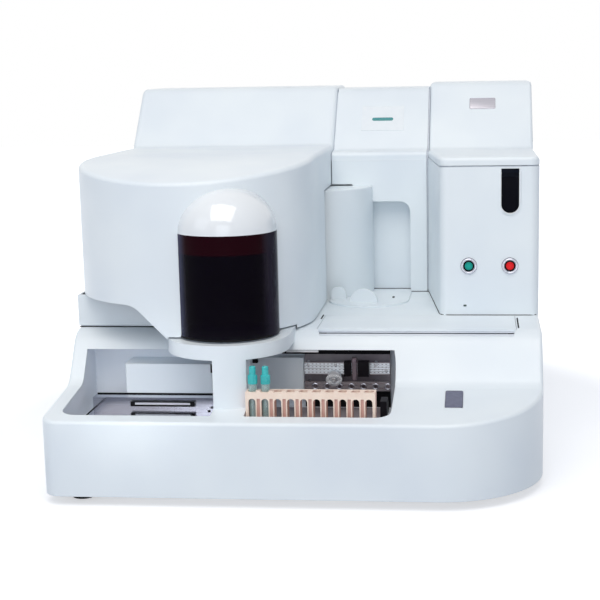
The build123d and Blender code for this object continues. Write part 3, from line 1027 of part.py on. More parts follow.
def rack_tab(middle, top):
    """A small tab on top of the rack, along its front edge."""
    width, depth, height = RACK_TAB
    return block((middle - width / 2, middle + width / 2), (RACK_FRONT_Y, RACK_FRONT_Y + depth),
                 (top - LAP, top + height))


def tube_place(index):
    """Axis of a tube in the rack."""
    return RACK_LEFT_X + RACK_PITCH * (index + 0.5), RACK_FRONT_Y + RACK_WIDTH / 2


def make_tube(index):
    """A clear sample tube with a round bottom."""
    x, y = tube_place(index)
    low = RIGHT_FLOOR_Z + 2 * SLIDE_GAP + RACK_FLOOR
    centre, inner = low + TUBE_R, TUBE_R - TUBE_WALL
    tube = rod_z(x, y, (centre, low + TUBE_HEIGHT), TUBE_R) + Pos(x, y, centre) * Sphere(TUBE_R)
    hole = rod_z(x, y, (centre, low + TUBE_HEIGHT + LAP), inner) + Pos(x, y, centre) * Sphere(inner)
    return tube - hole


def make_cap(index):
    """A stepped cap seated on a tube."""
    x, y = tube_place(index)
    low = RIGHT_FLOOR_Z + 2 * SLIDE_GAP + RACK_FLOOR + TUBE_HEIGHT
    cap = rod_z(x, y, (low, low + CAP_HEIGHT / 2), CAP_R) + rod_z(x, y, (low, low + CAP_HEIGHT), CAP_NECK_R)
    return fillet(cap.edges().group_by(Axis.Z)[-1], CAP_EDGE_R)


def make_key():
    """The bare level key in the shelf."""
    key = block((-KEY_WIDTH / 2, KEY_WIDTH / 2), (-KEY_LENGTH / 2, KEY_LENGTH / 2),
                (KEY_PROUD - KEY_THICK, KEY_PROUD))
    key = fillet(key.edges().filter_by(Axis.Z), CORNER_R)
    shelf_z = SHELF_Z - (SHELF_FOOT_Y - KEY_Y) * tan(radians(SHELF_TILT))
    return Pos(KEY_X, KEY_Y, shelf_z) * Rot(SHELF_TILT, 0, 0) * key


def feed_axle():
    """Y and Z of the feed rotor's axle."""
    return (BIN_Y[0] + BIN_Y[1]) / 2, BIN_Z[0] + FEED_R + FEED_RISE


def make_hopper_bin():
    """The open cuvette bin in the tower, on four legs."""
    bin_shell = block(BIN_X, BIN_Y, BIN_Z)
    bin_shell -= block((BIN_X[0] + SHEET, BIN_X[1] - SHEET), (BIN_Y[0] + SHEET, BIN_Y[1] - SHEET),
                       (BIN_Z[0] + SHEET, BIN_Z[1] + LAP))
    for x in (BIN_X[0], BIN_X[1] - BIN_LEG):
        for y in (BIN_Y[0], BIN_Y[1] - BIN_LEG):
            bin_shell += block((x, x + BIN_LEG), (y, y + BIN_LEG), (DECK_Z, BIN_Z[0]))
    return bin_shell - rod_x((BIN_X[0] - LAP, BIN_X[1] + LAP), *feed_axle(), FEED_AXLE_R + SHAFT_GAP)


def make_feed_rotor():
    """The vaned rotor on its axle at the bottom of the bin."""
    y, z = feed_axle()
    rotor = rod_x(BIN_X, y, z, FEED_AXLE_R)
    x = BIN_X[0] + SHEET + LAP, BIN_X[1] - SHEET - LAP
    rotor += rod_x(x, y, z, 3 * FEED_AXLE_R)
    for index in range(FEED_VANES):
        vane = block(x, (-FEED_VANE / 2, FEED_VANE / 2), (0, FEED_R))
        rotor += Pos(0, y, z) * Rot(360 * index / FEED_VANES, 0, 0) * vane
    return rotor


def make_base_plate():
    """The steel base plate inside the housing walls, with air slots."""
    plate = prism_z(body_plan(SKIN), (FOOT_HEIGHT, FOOT_HEIGHT + BASE_THICK))
    for index in range(BASE_SLOTS):
        x = BASE_SLOT_X + BASE_SLOT_PITCH * index
        plate -= block((x, x + BASE_SLOT[0]), (BASE_SLOT_Y, BASE_SLOT_Y + BASE_SLOT[1]),
                       (FOOT_HEIGHT - LAP, FOOT_HEIGHT + BASE_THICK + LAP))
    return plate


def make_feet():
    """Four round rubber feet."""
    left, back = LEFT + FOOT_INSET, BACK - FOOT_INSET
    places = [(left, FRONT + FOOT_INSET), (RIGHT - FOOT_RIGHT_INSET, FRONT + FOOT_FRONT_INSET),
              (left, back), (RIGHT - FOOT_INSET, back)]
    feet = []
    for x, y in places:
        foot = rod_z(x, y, (0, FOOT_HEIGHT), FOOT_R)
        feet.append(chamfer(foot.edges().group_by(Axis.Z)[0], FOOT_EDGE))
    return group(feet)


def make_power_supply():
    """The power supply box on the base plate behind the inlet."""
    width, depth, height = SUPPLY_SIZE
    low, back = FOOT_HEIGHT + BASE_THICK, REAR_Y - SUPPLY_GAP
    return block((INLET_X - width / 2, INLET_X + width / 2), (back - depth, back), (low, low + height))


def slot_at(x, z, size, y):
    """A rectangular block through the rear, centred on X and Z."""
    return block((x - size[0] / 2, x + size[0] / 2), y, (z - size[1] / 2, z + size[1] / 2))


def make_rear_panel():
    """The steel rear panel with its vents, fan guard and cut-outs."""
    panel = block((LEFT + SKIN + RUN_GAP, RIGHT - SKIN - RUN_GAP), (REAR_Y, BACK), (REAR_OPEN_Z, REAR_TOP_Z))
    y = REAR_Y - LAP, BACK + LAP
    for radius in GUARD_RINGS:
        panel -= rod_y(FAN_X, y, FAN_Z, radius) - rod_y(FAN_X, y, FAN_Z, radius - GUARD_SLOT)
    for turn in (45, 135):
        bar = block((-FAN_R, FAN_R), (REAR_Y, BACK), (-GUARD_BAR / 2, GUARD_BAR / 2))
        panel += Pos(FAN_X, 0, FAN_Z) * Rot(0, turn, 0) * bar
    panel -= slot_at(INLET_X, INLET_Z, INLET_SIZE, y)
    panel -= slot_at(ROCKER_X, INLET_Z, ROCKER_SIZE, y)
    for x in VENT_X:
        for index in range(VENT_COUNT):
            panel -= slot_at(x, VENT_Z + VENT[1] / 2 + VENT_PITCH * index, VENT, y)
    for index in range(HOSE_COUNT):
        panel -= rod_y(HOSE_X + HOSE_PITCH * index, y, HOSE_Z, HOSE_R)
    return panel


def make_inlet():
    """The power inlet socket with its three contacts, and the frame of the power switch."""
    inner = INLET_SIZE[0] - 2 * INLET_WALL, INLET_SIZE[1] - 2 * INLET_WALL
    body = slot_at(INLET_X, INLET_Z, INLET_SIZE, (REAR_Y - INLET_DEPTH, BACK))
    body -= slot_at(INLET_X, INLET_Z, inner, (BACK - INLET_MOUTH, BACK + LAP))
    for x, z in CONTACTS:
        body += slot_at(INLET_X + x, INLET_Z + z, CONTACT, (BACK - INLET_MOUTH - LAP, BACK - SHEET))
    inner = ROCKER_SIZE[0] - 2 * ROCKER_WALL, ROCKER_SIZE[1] - 2 * ROCKER_WALL
    frame = slot_at(ROCKER_X, INLET_Z, ROCKER_SIZE, (REAR_Y - ROCKER_DEPTH, BACK))
    frame -= slot_at(ROCKER_X, INLET_Z, inner, (REAR_Y - ROCKER_DEPTH + SHEET, BACK + LAP))
    reach = ROCKER_SIZE[0] / 2 - ROCKER_GAP[0]
    x = ROCKER_X - reach, ROCKER_X + reach
    frame -= rod_x(x, REAR_Y - ROCKER_PIN_Y, INLET_Z, ROCKER_PIN_R + SHAFT_GAP)
    return group([body, frame])


def make_rocker():
    """The rocker of the power switch on its pivot."""
    width = ROCKER_SIZE[0] - 2 * ROCKER_WALL - 2 * ROCKER_GAP[0]
    height = ROCKER_SIZE[1] - 2 * ROCKER_WALL - 2 * ROCKER_GAP[1]
    rocker = slot_at(ROCKER_X, INLET_Z, (width, height), (REAR_Y - ROCKER_BODY[0], BACK - ROCKER_BODY[1]))
    reach = ROCKER_SIZE[0] / 2 - ROCKER_GAP[0] - SEAT_GAP
    return rocker + rod_x((ROCKER_X - reach, ROCKER_X + reach), REAR_Y - ROCKER_PIN_Y, INLET_Z, ROCKER_PIN_R)


def make_fan_frame():
    """The fan frame behind the panel with its motor and four struts."""
    low, side = REAR_Y - FAN_DEPTH, 2 * (FAN_R + FAN_RIM)
    frame = slot_at(FAN_X, FAN_Z, (side, side), (low, REAR_Y))
    frame -= rod_y(FAN_X, (low - LAP, REAR_Y + LAP), FAN_Z, FAN_R)
    thick, wide = FAN_STRUT
    for turn in (0, 90):
        strut = block((-FAN_R - LAP, FAN_R + LAP), (low, low + thick), (-wide / 2, wide / 2))
        frame += Pos(FAN_X, 0, FAN_Z) * Rot(0, turn, 0) * strut
    radius, length = FAN_PIN
    return frame + rod_y(FAN_X, (low, low + thick), FAN_Z, FAN_MOTOR_R) + rod_y(
        FAN_X, (low, low + length), FAN_Z, radius)


def make_fan_rotor():
    """The fan hub with seven twisted blades."""
    low, high = REAR_Y - FAN_DEPTH + FAN_GAP[0], REAR_Y - FAN_GAP[1]
    rotor = rod_y(FAN_X, (low, high), FAN_Z, FAN_HUB_R)
    wide, thick = BLADE
    for index in range(FAN_BLADES):
        blade = block((-wide / 2, wide / 2), (-thick / 2, thick / 2), (FAN_HUB_R - SHEET, FAN_R - CORNER_R))
        turn = Rot(0, 360 * index / FAN_BLADES, 0) * Rot(0, 0, BLADE_TWIST)
        rotor += Pos(FAN_X, (low + high) / 2, FAN_Z) * turn * blade
    return rotor - rod_y(FAN_X, (low - LAP, high - SHEET), FAN_Z, FAN_PIN[0] + SHAFT_GAP)


def make_fluid_ports():
    """Three hose ports in the rear panel."""
    ports = []
    for index in range(HOSE_COUNT):
        x, low = HOSE_X + HOSE_PITCH * index, REAR_Y - HOSE_DEPTH
        port = rod_y(x, (low, BACK), HOSE_Z, HOSE_R)
        port -= rod_y(x, (low + SHEET, BACK + LAP), HOSE_Z, HOSE_R - SHEET)
        port += rod_y(x, (low, BACK - LAP), HOSE_Z, HOSE_R / 2)
        ports.append(port - rod_y(x, (low - LAP, BACK), HOSE_Z, HOSE_R / 4))
    return group(ports)


def main():
    """Write every piece of the analyzer."""
    os.makedirs("parts", exist_ok=True)
    envelope, hollow, drum = housing_body(), housing_hollow(), drum_body()
    save("lower_housing", make_housing(envelope, hollow))
    save("rack_pools", make_pools(hollow))
    save("bottle_well", make_bottle_well(envelope, hollow))
    save("reagent_bottles", make_bottles())
    save("deck_lid", make_deck_lid(envelope))
    save("base_plate", make_base_plate())
    save("rubber_feet", make_feet())
    save("power_supply", make_power_supply())
    save("rear_panel", make_rear_panel())
    save("power_inlet", make_inlet())
    save("power_rocker", make_rocker())
    save("fan_frame", make_fan_frame())
    save("fan_rotor", make_fan_rotor())
    save("fluid_ports", make_fluid_ports())
    save("main_lid", make_main_lid(drum))
    save("view_window", make_window(drum))
    save("view_dome", make_dome(drum))
    save("window_seat", make_seat(envelope))
    save("left_sill", make_sill())
    save("centre_wall", make_centre_wall())
    save("detector_housing", make_detector())
    save("centre_hood", make_centre_hood())
    save("indicator_plate", make_indicator_plate())
    save("indicator_light", make_indicator_light())
    save("tower_panel", make_tower())
    save("tower_window", make_slot_window())
    save("button_bezels", make_button_bezels())
    save("button_sleeves", make_button_sleeves())
    save("start_button", make_button(START_X))
    save("stop_button", make_button(STOP_X))
    save("hopper_cover", make_hopper_cover())
    save("cuvette_bin", make_hopper_bin())
    save("feed_rotor", make_feed_rotor())
    save("lid_hinges", make_hinges())
    save("analysis_deck", make_analysis_deck())
    save("deck_guides", make_guides())
    save("reaction_rotor", make_rotor())
    save("sample_lift", make_lift(SAMPLE_POST))
    save("sample_arm", make_arm(SAMPLE_POST, (WINDOW_X, WINDOW_Y)))
    save("sample_probe", make_probe((WINDOW_X, WINDOW_Y)))
    save("reagent_lift", make_lift(REAGENT_POST))
    save("reagent_arm", make_arm(REAGENT_POST, PORT))
    save("reagent_probe", make_probe(PORT))
    save("wash_station", make_wash_station())
    save("pump_cover", make_pump_cover())
    save("reagent_well", make_reagent_well())
    save("reagent_table", make_table())
    save("reagent_vials", make_vials())
    save("reagent_cover", make_reagent_cover())
    save("rack_readers", make_readers())
    save("return_tray", make_return_tray())
    save("rack_pusher", make_pusher())
    save("pool_back_plate", make_back_plate())
    save("pool_rails", make_rails())
    save("pool_sensors", make_sensors())
    save("sample_rack", make_rack())
    save("sample_tubes", group(make_tube(index) for index in range(TUBE_COUNT)))
    save("tube_caps", group(make_cap(index) for index in range(TUBE_COUNT)))
    save("shelf_key", make_key())


if __name__ == "__main__":
    main()
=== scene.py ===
import json
import logging
import math
from dataclasses import dataclass
from enum import Enum
from typing import Any, ClassVar

import bmesh
import bpy
import numpy as np
from mathutils import Matrix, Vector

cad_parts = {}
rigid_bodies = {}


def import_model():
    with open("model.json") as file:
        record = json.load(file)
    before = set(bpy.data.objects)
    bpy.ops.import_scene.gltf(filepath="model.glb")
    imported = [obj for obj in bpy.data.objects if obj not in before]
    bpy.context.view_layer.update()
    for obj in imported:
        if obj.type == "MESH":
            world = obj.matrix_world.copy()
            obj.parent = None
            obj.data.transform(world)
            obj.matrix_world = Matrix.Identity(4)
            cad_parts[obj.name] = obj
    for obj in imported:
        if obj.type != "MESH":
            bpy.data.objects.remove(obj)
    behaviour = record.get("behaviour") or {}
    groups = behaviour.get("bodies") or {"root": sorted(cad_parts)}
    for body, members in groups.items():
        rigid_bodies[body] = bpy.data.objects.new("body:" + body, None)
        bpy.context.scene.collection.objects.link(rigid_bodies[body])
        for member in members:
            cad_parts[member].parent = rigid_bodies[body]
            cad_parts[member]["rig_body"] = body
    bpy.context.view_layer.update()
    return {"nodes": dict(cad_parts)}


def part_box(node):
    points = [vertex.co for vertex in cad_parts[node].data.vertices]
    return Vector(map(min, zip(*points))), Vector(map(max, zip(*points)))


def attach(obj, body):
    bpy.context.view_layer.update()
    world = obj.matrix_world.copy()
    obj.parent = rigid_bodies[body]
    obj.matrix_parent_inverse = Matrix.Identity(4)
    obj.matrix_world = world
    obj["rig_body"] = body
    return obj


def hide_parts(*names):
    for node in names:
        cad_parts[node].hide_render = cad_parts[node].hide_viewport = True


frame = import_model()

LOG = logging.getLogger("analyzer")
MM = 0.001
PHOTO_SIDE = 600

Vec = tuple[float, float, float]
Pair = tuple[float, float]
Path = tuple[Pair, ...]
Socket = bpy.types.NodeSocket

# Ways to stand a flat shell up: its face to the front, to the right side and to the back
FRONT = {"across": (1, 0, 0), "along": (0, 0, 1)}
SIDE = {"across": (0, 1, 0), "along": (0, 0, 1)}
REAR = {"across": (-1, 0, 0), "along": (0, 0, 1)}


def linear(colour: str) -> tuple[float, float, float, float]:
    """Turn an sRGB hex value into linear light.

    Args:
        colour: a value such as "#aabbcc".

    Returns:
        Linear red, green and blue, and an alpha of 1.
    """
    channels = [int(colour[i:i + 2], 16) / 255 for i in (1, 3, 5)]
    red, green, blue = (c / 12.92 if c <= 0.04045 else ((c + 0.055) / 1.055) ** 2.4 for c in channels)
    return red, green, blue, 1.0


# Surfaces

@dataclass
class Shell:
    """A closed surface: points in millimetres and the faces that join them."""

    points: np.ndarray
    faces: list[tuple[int, ...]]

    def placed(self, origin: Vec, across: Vec = (1, 0, 0), along: Vec = (0, 1, 0)) -> "Shell":
        """Carry the shell to its place: P' = origin + x across + y along + z (across x along).

        Args:
            origin: where the shell's own origin goes, in millimetres.
            across: direction of its X.
            along: direction of its Y.

        Returns:
            The moved shell.
        """
        axes = np.array([across, along, np.cross(across, along)], float)
        return Shell(self.points @ axes + np.array(origin, float), self.faces)


def loft(rings: np.ndarray, closed: bool = False) -> Shell:
    """Join rings of points into a skin.

    Point j of ring i is joined to point j + 1 and to both of the next ring. An open loft gets a face
    over its first and its last ring, and a closed one joins its last ring to its first.

    Args:
        rings: array of rings by points by 3, each ring counter-clockwise seen from the last one.
        closed: whether the rings themselves run round.

    Returns:
        The skin.
    """
    count, size = rings.shape[:2]
    ring, step = np.meshgrid(np.arange(count if closed else count - 1), np.arange(size), indexing="ij")
    after, turn = (ring + 1) % count, (step + 1) % size
    quads = np.stack([ring * size + step, ring * size + turn, after * size + turn, after * size + step], -1)
    faces = [tuple(quad) for quad in quads.reshape(-1, 4).tolist()]
    if not closed:
        faces += [tuple(range(size))[::-1], tuple(range((count - 1) * size, count * size))]
    return Shell(rings.reshape(-1, 3).astype(float), faces)


def circle(steps: int) -> np.ndarray:
    """Angles of a full circle in equal steps."""
    return np.linspace(0, 2 * math.pi, steps, endpoint=False)


def revolve(profile: list[Pair], segments: int = 32, closed: bool = False, flutes: int = 0,
            depth: float = 0.0, fluted: Pair = (0.0, 0.0)) -> Shell:
    """Turn a profile about Z: P(i, t) = (r cos t, r sin t, h_i).

    Between the heights in fluted, r is r_i - depth (1 - cos(flutes t)) / 2, and elsewhere r_i.

    Args:
        profile: pairs of radius and height, the outer side going up.
        segments: points round the axis.
        closed: whether the profile is itself a closed ring.
        flutes: how many grooves run down the side.
        depth: their depth in millimetres.
        fluted: lowest and highest height that has them.

    Returns:
        The turned surface.
    """
    radius, height = np.array(profile, float).T[:, :, None]
    turn = circle(segments)[None, :]
    groove = depth * (1 - np.cos(flutes * turn)) / 2
    held = (height >= fluted[0]) & (height <= fluted[1])
    reach = radius - np.where(held, groove, 0.0)
    tall = np.broadcast_to(height, reach.shape)
    return loft(np.stack([reach * np.cos(turn), reach * np.sin(turn), tall], -1), closed)


def stacked(width: float, height: float, radius: float, insets: list[float], levels: list[float]) -> np.ndarray:
    """Rounded rectangles above each other: P(i, k, t) = c_k + (radius - inset_i) (cos t, sin t), at level_i.

    c_k is the centre of corner k, and t runs over the corner's quarter circle in six points.

    Args:
        width: outer size along X.
        height: outer size along Y.
        radius: radius of the outer corners.
        insets: how far each ring lies inside the outer outline.
        levels: the height of each ring.

    Returns:
        Rings by points by 3, counter-clockwise.
    """
    turn = np.arange(4)[:, None] * math.pi / 2 + np.linspace(0, math.pi / 2, 6)
    centre = np.array([(1, 1), (-1, 1), (-1, -1), (1, -1)]) * (width / 2 - radius, height / 2 - radius)
    inset, level = np.array([insets, levels], float)[:, :, None, None, None]
    flat = centre[:, None] + (radius - inset) * np.stack([np.cos(turn), np.sin(turn)], -1)
    tall = np.broadcast_to(level, (*flat.shape[:-1], 1))
    return np.concatenate([flat, tall], -1).reshape(len(insets), -1, 3)


def plate(width: float, height: float, thick: float, radius: float, edge: float = 0.25) -> Shell:
    """A plate on z = 0 with a rounded upper edge: inset edge (1 - cos s), level thick - edge + edge sin s.

    Args:
        width: size along X.
        height: size along Y.
        thick: height of its face.
        radius: radius of its corners.
        edge: radius of the upper edge.

    Returns:
        The plate.
    """
    turn = np.linspace(0, math.pi / 2, 4)
    insets = [0.0, *(edge * (1 - np.cos(turn)))]
    levels = [0.0, *(thick - edge + edge * np.sin(turn))]
    return loft(stacked(width, height, radius, insets, levels))


def rim(width: float, height: float, thick: float, radius: float, wall: float) -> Shell:
    """A raised frame, up its outer side, over a round crown and down its inner side.

    Over the crown the inset is wall / 2 (1 - cos s) and the level thick - wall / 2 + wall / 2 sin s.

    Args:
        width: outer size along X.
        height: outer size along Y.
        thick: height of the crown.
        radius: radius of its outer corners.
        wall: width of the frame.

    Returns:
        The frame.
    """
    turn = np.linspace(0, math.pi, 7)
    insets = [0.0, *(wall / 2 * (1 - np.cos(turn))), wall]
    levels = [0.0, *(thick - wall / 2 + wall / 2 * np.sin(turn)), 0.0]
    return loft(stacked(width, height, radius, insets, levels), closed=True)


def swept(section: np.ndarray, path: np.ndarray) -> Shell:
    """Carry a section along a level path: P(i, j) = path_i + a_j Z + b_j n_i, n the path's outer side.

    Args:
        section: pairs of height and outward reach, points by 2.
        path: points by 3 in millimetres.

    Returns:
        The swept bar.
    """
    way = np.gradient(path, axis=0)
    way /= np.linalg.norm(way, axis=1, keepdims=True)
    out = np.cross(way, (0, 0, 1))
    rings = path[:, None] + section[None, :, :1] * np.array([0, 0, 1.0]) + section[None, :, 1:] * out[:, None]
    return loft(rings)


def ring_tube(width: float, height: float, thick: float, segments: int = 64, sides: int = 12) -> Shell:
    """A round bar bent to an oval: P(s, t) = (a cos s, b sin s, 0) + thick (cos t n(s) + sin t Z).

    Args:
        width: size over the bar's middle line along X, 2 a.
        height: the same along Y, 2 b.
        thick: radius of the bar.
        segments: steps round the oval.
        sides: steps round the bar.

    Returns:
        The closed ring, flat on z = 0.
    """
    turn, around = circle(segments)[:, None], circle(sides)[None, :]
    a, b = width / 2, height / 2
    normal = np.stack([b * np.cos(turn), a * np.sin(turn)], -1)
    normal /= np.linalg.norm(normal, axis=-1, keepdims=True)
    line = np.stack([a * np.cos(turn), b * np.sin(turn)], -1) + thick * np.cos(around)[..., None] * normal
    tall = np.broadcast_to(thick * np.sin(around), line.shape[:2])
    return loft(np.concatenate([line, tall[..., None]], -1), closed=True)


def round_bar(thick: float, sides: int = 10) -> np.ndarray:
    """Section of a round bar for swept: thick (sin t, cos t)."""
    turn = circle(sides)
    return thick * np.stack([np.sin(turn), np.cos(turn)], -1)


def flat_bar(thick: float, deep: float) -> np.ndarray:
    """Section of a flat bar for swept, centred in height, lying from 0 to deep on the outer side."""
    half = thick / 2
    return np.array([(-half, 0.0), (-half, deep), (half, deep), (half, 0.0)])


def bent(*corners: Pair, near: float = 0.4) -> np.ndarray:
    """A level path through corners, with a point on each side of every inner corner.

    Args:
        corners: X and Y of each.
        near: how far from the corner its two points lie.

    Returns:
        Points by 3, at z = 0.
    """
    spots = np.array(corners, float)
    way = np.diff(spots, axis=0)
    way /= np.linalg.norm(way, axis=1, keepdims=True)
    inner = np.stack([spots[1:-1] - near * way[:-1], spots[1:-1] + near * way[1:]], 1).reshape(-1, 2)
    flat = np.concatenate([spots[:1], inner, spots[-1:]])
    return np.c_[flat, np.zeros(len(flat))]


def foot_bead(corners: Path, level: float) -> Shell:
    """A round seal, 1.6 mm thick, along a level path through corners at a height."""
    return swept(round_bar(0.8), bent(*corners)).placed((0, 0, level))


def screw_head(radius: float, sides: int = 24) -> Shell:
    """A pan head with a hexagon recess: a turned dome whose middle sinks on six-sided rings.

    A ring's reach is radius r, times cos 30 / cos((t mod 60) - 30) where it is a hexagon's.

    Args:
        radius: radius of the head.
        sides: points round it.

    Returns:
        The head on z = 0.
    """
    turn = circle(sides)
    six = math.cos(math.pi / 6) / np.cos(turn % (math.pi / 3) - math.pi / 6)
    rows = [(1.0, 0.0, 0), (1.0, 0.22, 0), (0.93, 0.42, 0), (0.8, 0.55, 0), (0.55, 0.6, 1), (0.5, 0.58, 1),
            (0.48, 0.25, 1)]
    share, level, hexed = np.array(rows).T[:, :, None]
    reach = radius * share * np.where(hexed, six, 1.0)
    tall = np.broadcast_to(radius * level, reach.shape)
    return loft(np.stack([reach * np.cos(turn), reach * np.sin(turn), tall], -1))


# Node trees

@dataclass
class Paint:
    """A node tree being built, with its shader and the coordinates that its patterns read."""

    tree: bpy.types.NodeTree
    shader: bpy.types.Node | None = None
    place: Socket | None = None

    def feed(self, node: bpy.types.Node, inputs: dict[str | int, Any]) -> None:
        """Set a node's inputs.

        Args:
            node: the node.
            inputs: for each input, its constant or the socket that feeds it.
        """
        for key, value in inputs.items():
            if isinstance(value, Socket):
                self.tree.links.new(value, node.inputs[key])
            else:
                node.inputs[key].default_value = value

    def give(self, inputs: dict[str | int, Any]) -> None:
        """Set the shader's own inputs."""
        self.feed(self.shader, inputs)

    def add(self, kind: str, inputs: dict[str | int, Any] | None = None, **settings: Any) -> bpy.types.Node:
        """Add one node.

        Args:
            kind: the node's type name.
            inputs: constants and sockets for its inputs.
            settings: its own properties.

        Returns:
            The node.
        """
        node = self.tree.nodes.new(kind)
        for name, value in settings.items():
            setattr(node, name, value)
        self.feed(node, inputs or {})
        return node

    def ramp(self, value: Socket, start: float, end: float, low: float = 0.0, high: float = 1.0,
             shape: str = "LINEAR") -> Socket:
        """Carry the range from start to end into low to high, and hold the ends.

        Args:
            value: what is carried.
            start: where the range starts.
            end: where it ends.
            low: the result at the start.
            high: the result at the end.
            shape: how it goes between them.

        Returns:
            The result's socket.
        """
        inputs = {"Value": value, "From Min": start, "From Max": end, "To Min": low, "To Max": high}
        return self.add("ShaderNodeMapRange", inputs, interpolation_type=shape).outputs["Result"]

    def mottle(self, size: float, low: float, high: float, detail: float = 2.0,
               place: Socket | None = None) -> Socket:
        """A soft noise.

        Args:
            size: size of its patches in millimetres.
            low: value of its dark patches.
            high: value of its light patches.
            detail: finer steps in it.
            place: the coordinates it reads, if not the paint's own.

        Returns:
            The value's socket.
        """
        inputs = {"Vector": place or self.place, "Scale": 1 / (size * MM), "Detail": detail}
        return self.ramp(self.add("ShaderNodeTexNoise", inputs).outputs["Fac"], 0.3, 0.7, low, high)

    def blend(self, factor: Socket, first: Socket | str, second: Socket | str) -> Socket:
        """Mix two colours.

        Args:
            factor: the second colour's share.
            first: a hex value or a socket.
            second: a hex value or a socket.

        Returns:
            The colour's socket.
        """
        first, second = (linear(colour) if isinstance(colour, str) else colour for colour in (first, second))
        return self.add("ShaderNodeMix", {0: factor, 6: first, 7: second}, data_type="RGBA").outputs[2]

    def work(self, action: str, first: Socket, second: Socket | float = 0.0) -> Socket:
        """One step of arithmetic on a socket, with a number or with another socket."""
        return self.add("ShaderNodeMath", {0: first, 1: second}, operation=action).outputs[0]

    def apart(self, vector: Socket | None = None) -> Any:
        """X, Y and Z of a vector, or of the paint's coordinates."""
        return self.add("ShaderNodeSeparateXYZ", {0: vector or self.place}).outputs

    def length(self, vector: Socket) -> Socket:
        """A vector's length."""
        return self.add("ShaderNodeVectorMath", {0: vector}, operation="LENGTH").outputs["Value"]

    def tone(self) -> Socket:
        """What feeds the base colour so far."""
        return self.shader.inputs["Base Color"].links[0].from_socket

    def roughen(self, height: Socket, depth: float, normal: Socket | None = None) -> None:
        """Raise the surface.

        Args:
            height: the pattern, from 0 to 1.
            depth: its full step in millimetres.
            normal: the surface that it is laid on, if not the mesh's own.
        """
        bump = self.add("ShaderNodeBump", {"Strength": 0.6, "Distance": depth * MM, "Height": height})
        if normal:
            self.feed(bump, {"Normal": normal})
        self.give({"Normal": bump.outputs["Normal"]})


def start_material(title: str) -> tuple[bpy.types.Material, Paint]:
    """Start a material: a principled shader, its output, and Object coordinates.

    Args:
        title: its name.

    Returns:
        The material and its paint.
    """
    material = bpy.data.materials.new(title)
    material.use_nodes = True
    paint = Paint(material.node_tree)
    paint.tree.nodes.clear()
    paint.shader = paint.add("ShaderNodeBsdfPrincipled")
    paint.add("ShaderNodeOutputMaterial", {"Surface": paint.shader.outputs["BSDF"]})
    paint.place = paint.add("ShaderNodeTexCoord").outputs["Object"]
    return material, paint


# Finishes

@dataclass(frozen=True)
class Finish:
    """What every finish shares: a title, the record's slot for it, a base colour and a roughness."""

    title: str
    slot: str
    colour: str
    roughness: float

    def material(self) -> bpy.types.Material:
        """Give the finish's material, made on its first use."""
        return bpy.data.materials.get(self.title) or self.made()

    def made(self) -> bpy.types.Material:
        """Make the material and let the finish dress it.

        Returns:
            The material.
        """
        material, paint = start_material(self.title)
        paint.give({"Base Color": linear(self.colour), "Roughness": self.roughness})
        self.dress(paint)
        return material

    def dress(self, paint: Paint) -> None:
        """Add the finish's own pattern to a paint.

        Args:
            paint: the material's paint.
        """
        raise NotImplementedError

    def vary(self, paint: Paint, size: float, spread: float, place: Socket | None = None) -> None:
        """Let the roughness drift.

        Args:
            paint: the material's paint.
            size: size of the patches in millimetres.
            spread: how far the roughness goes up and down.
            place: the coordinates it reads, if not the paint's own.
        """
        low, high = self.roughness - spread, self.roughness + spread
        paint.give({"Roughness": paint.mottle(size, low, high, place=place)})


@dataclass(frozen=True)
class MouldedHousing(Finish):
    """Structural foam or ABS moulding with a sprayed satin coat: even colour, a fine pebble from the
    mould, slightly paler edges, partly rubbed wear and partly a painted highlight, and a soft broad highlight."""

    shade: str
    # The paler edge colour: rubbed wear and a painted highlight
    worn_and_lit: str
    pebble: float = 1.8
    relief: float = 0.035
    edge: float = 1.2
    lacquer: float = 0.0

    def dress(self, paint: Paint) -> None:
        """Tone drift over 160 mm, pebble about 0.3 mm drawn at 1.8 mm so that it shows, rounded edges.

        Args:
            paint: the material's paint.
        """
        tone = paint.blend(paint.mottle(160.0, 0.0, 1.0), self.colour, self.shade)
        soft = paint.add("ShaderNodeBevel", {"Radius": self.edge * MM}, samples=4).outputs["Normal"]
        true = paint.add("ShaderNodeNewGeometry").outputs["Normal"]
        turn = paint.add("ShaderNodeVectorMath", {0: soft, 1: true}, operation="DOT_PRODUCT").outputs["Value"]
        # Paler edges in patches: partly rubbed wear, partly a painted highlight along the rounded edges
        edge_wear_and_highlight = paint.work("MULTIPLY", paint.ramp(turn, 0.995, 0.9, 0.0, 0.55), paint.mottle(9.0, 0.3, 1.0))
        paint.give({"Base Color": paint.blend(edge_wear_and_highlight, tone, self.worn_and_lit), "Coat Weight": self.lacquer,
                    "Coat Roughness": 0.03})
        self.vary(paint, 45.0, min(0.05, self.roughness / 4))
        paint.roughen(paint.mottle(self.pebble, 0.0, 1.0), self.relief, soft)


class Grain(Enum):
    """Which way a metal's grinding lines run."""

    ACROSS = "X"
    UPRIGHT = "Z"


@dataclass(frozen=True)
class SheetSteel(Finish):
    """Rolled or ground steel sheet: fine parallel lines left by the belt, and streaks of gloss."""

    axis: Grain
    line: float = 0.9

    def dress(self, paint: Paint) -> None:
        """Lines about 0.1 mm wide drawn 0.9 mm wide so that they show, sixty times as long as wide.

        Args:
            paint: the material's paint.
        """
        scale = [1 / 60 if axis == self.axis.value else 1.0 for axis in "XYZ"]
        drawn = paint.add("ShaderNodeMapping", {"Vector": paint.place, "Scale": scale}).outputs["Vector"]
        lines = paint.mottle(self.line, 0.0, 1.0, 3.0, drawn)
        tone = paint.blend(paint.work("MULTIPLY", lines, 0.35), self.colour, "#8f9196")
        paint.give({"Base Color": tone, "Metallic": 1.0})
        self.vary(paint, self.line * 2, 0.08, drawn)
        paint.roughen(lines, 0.01)


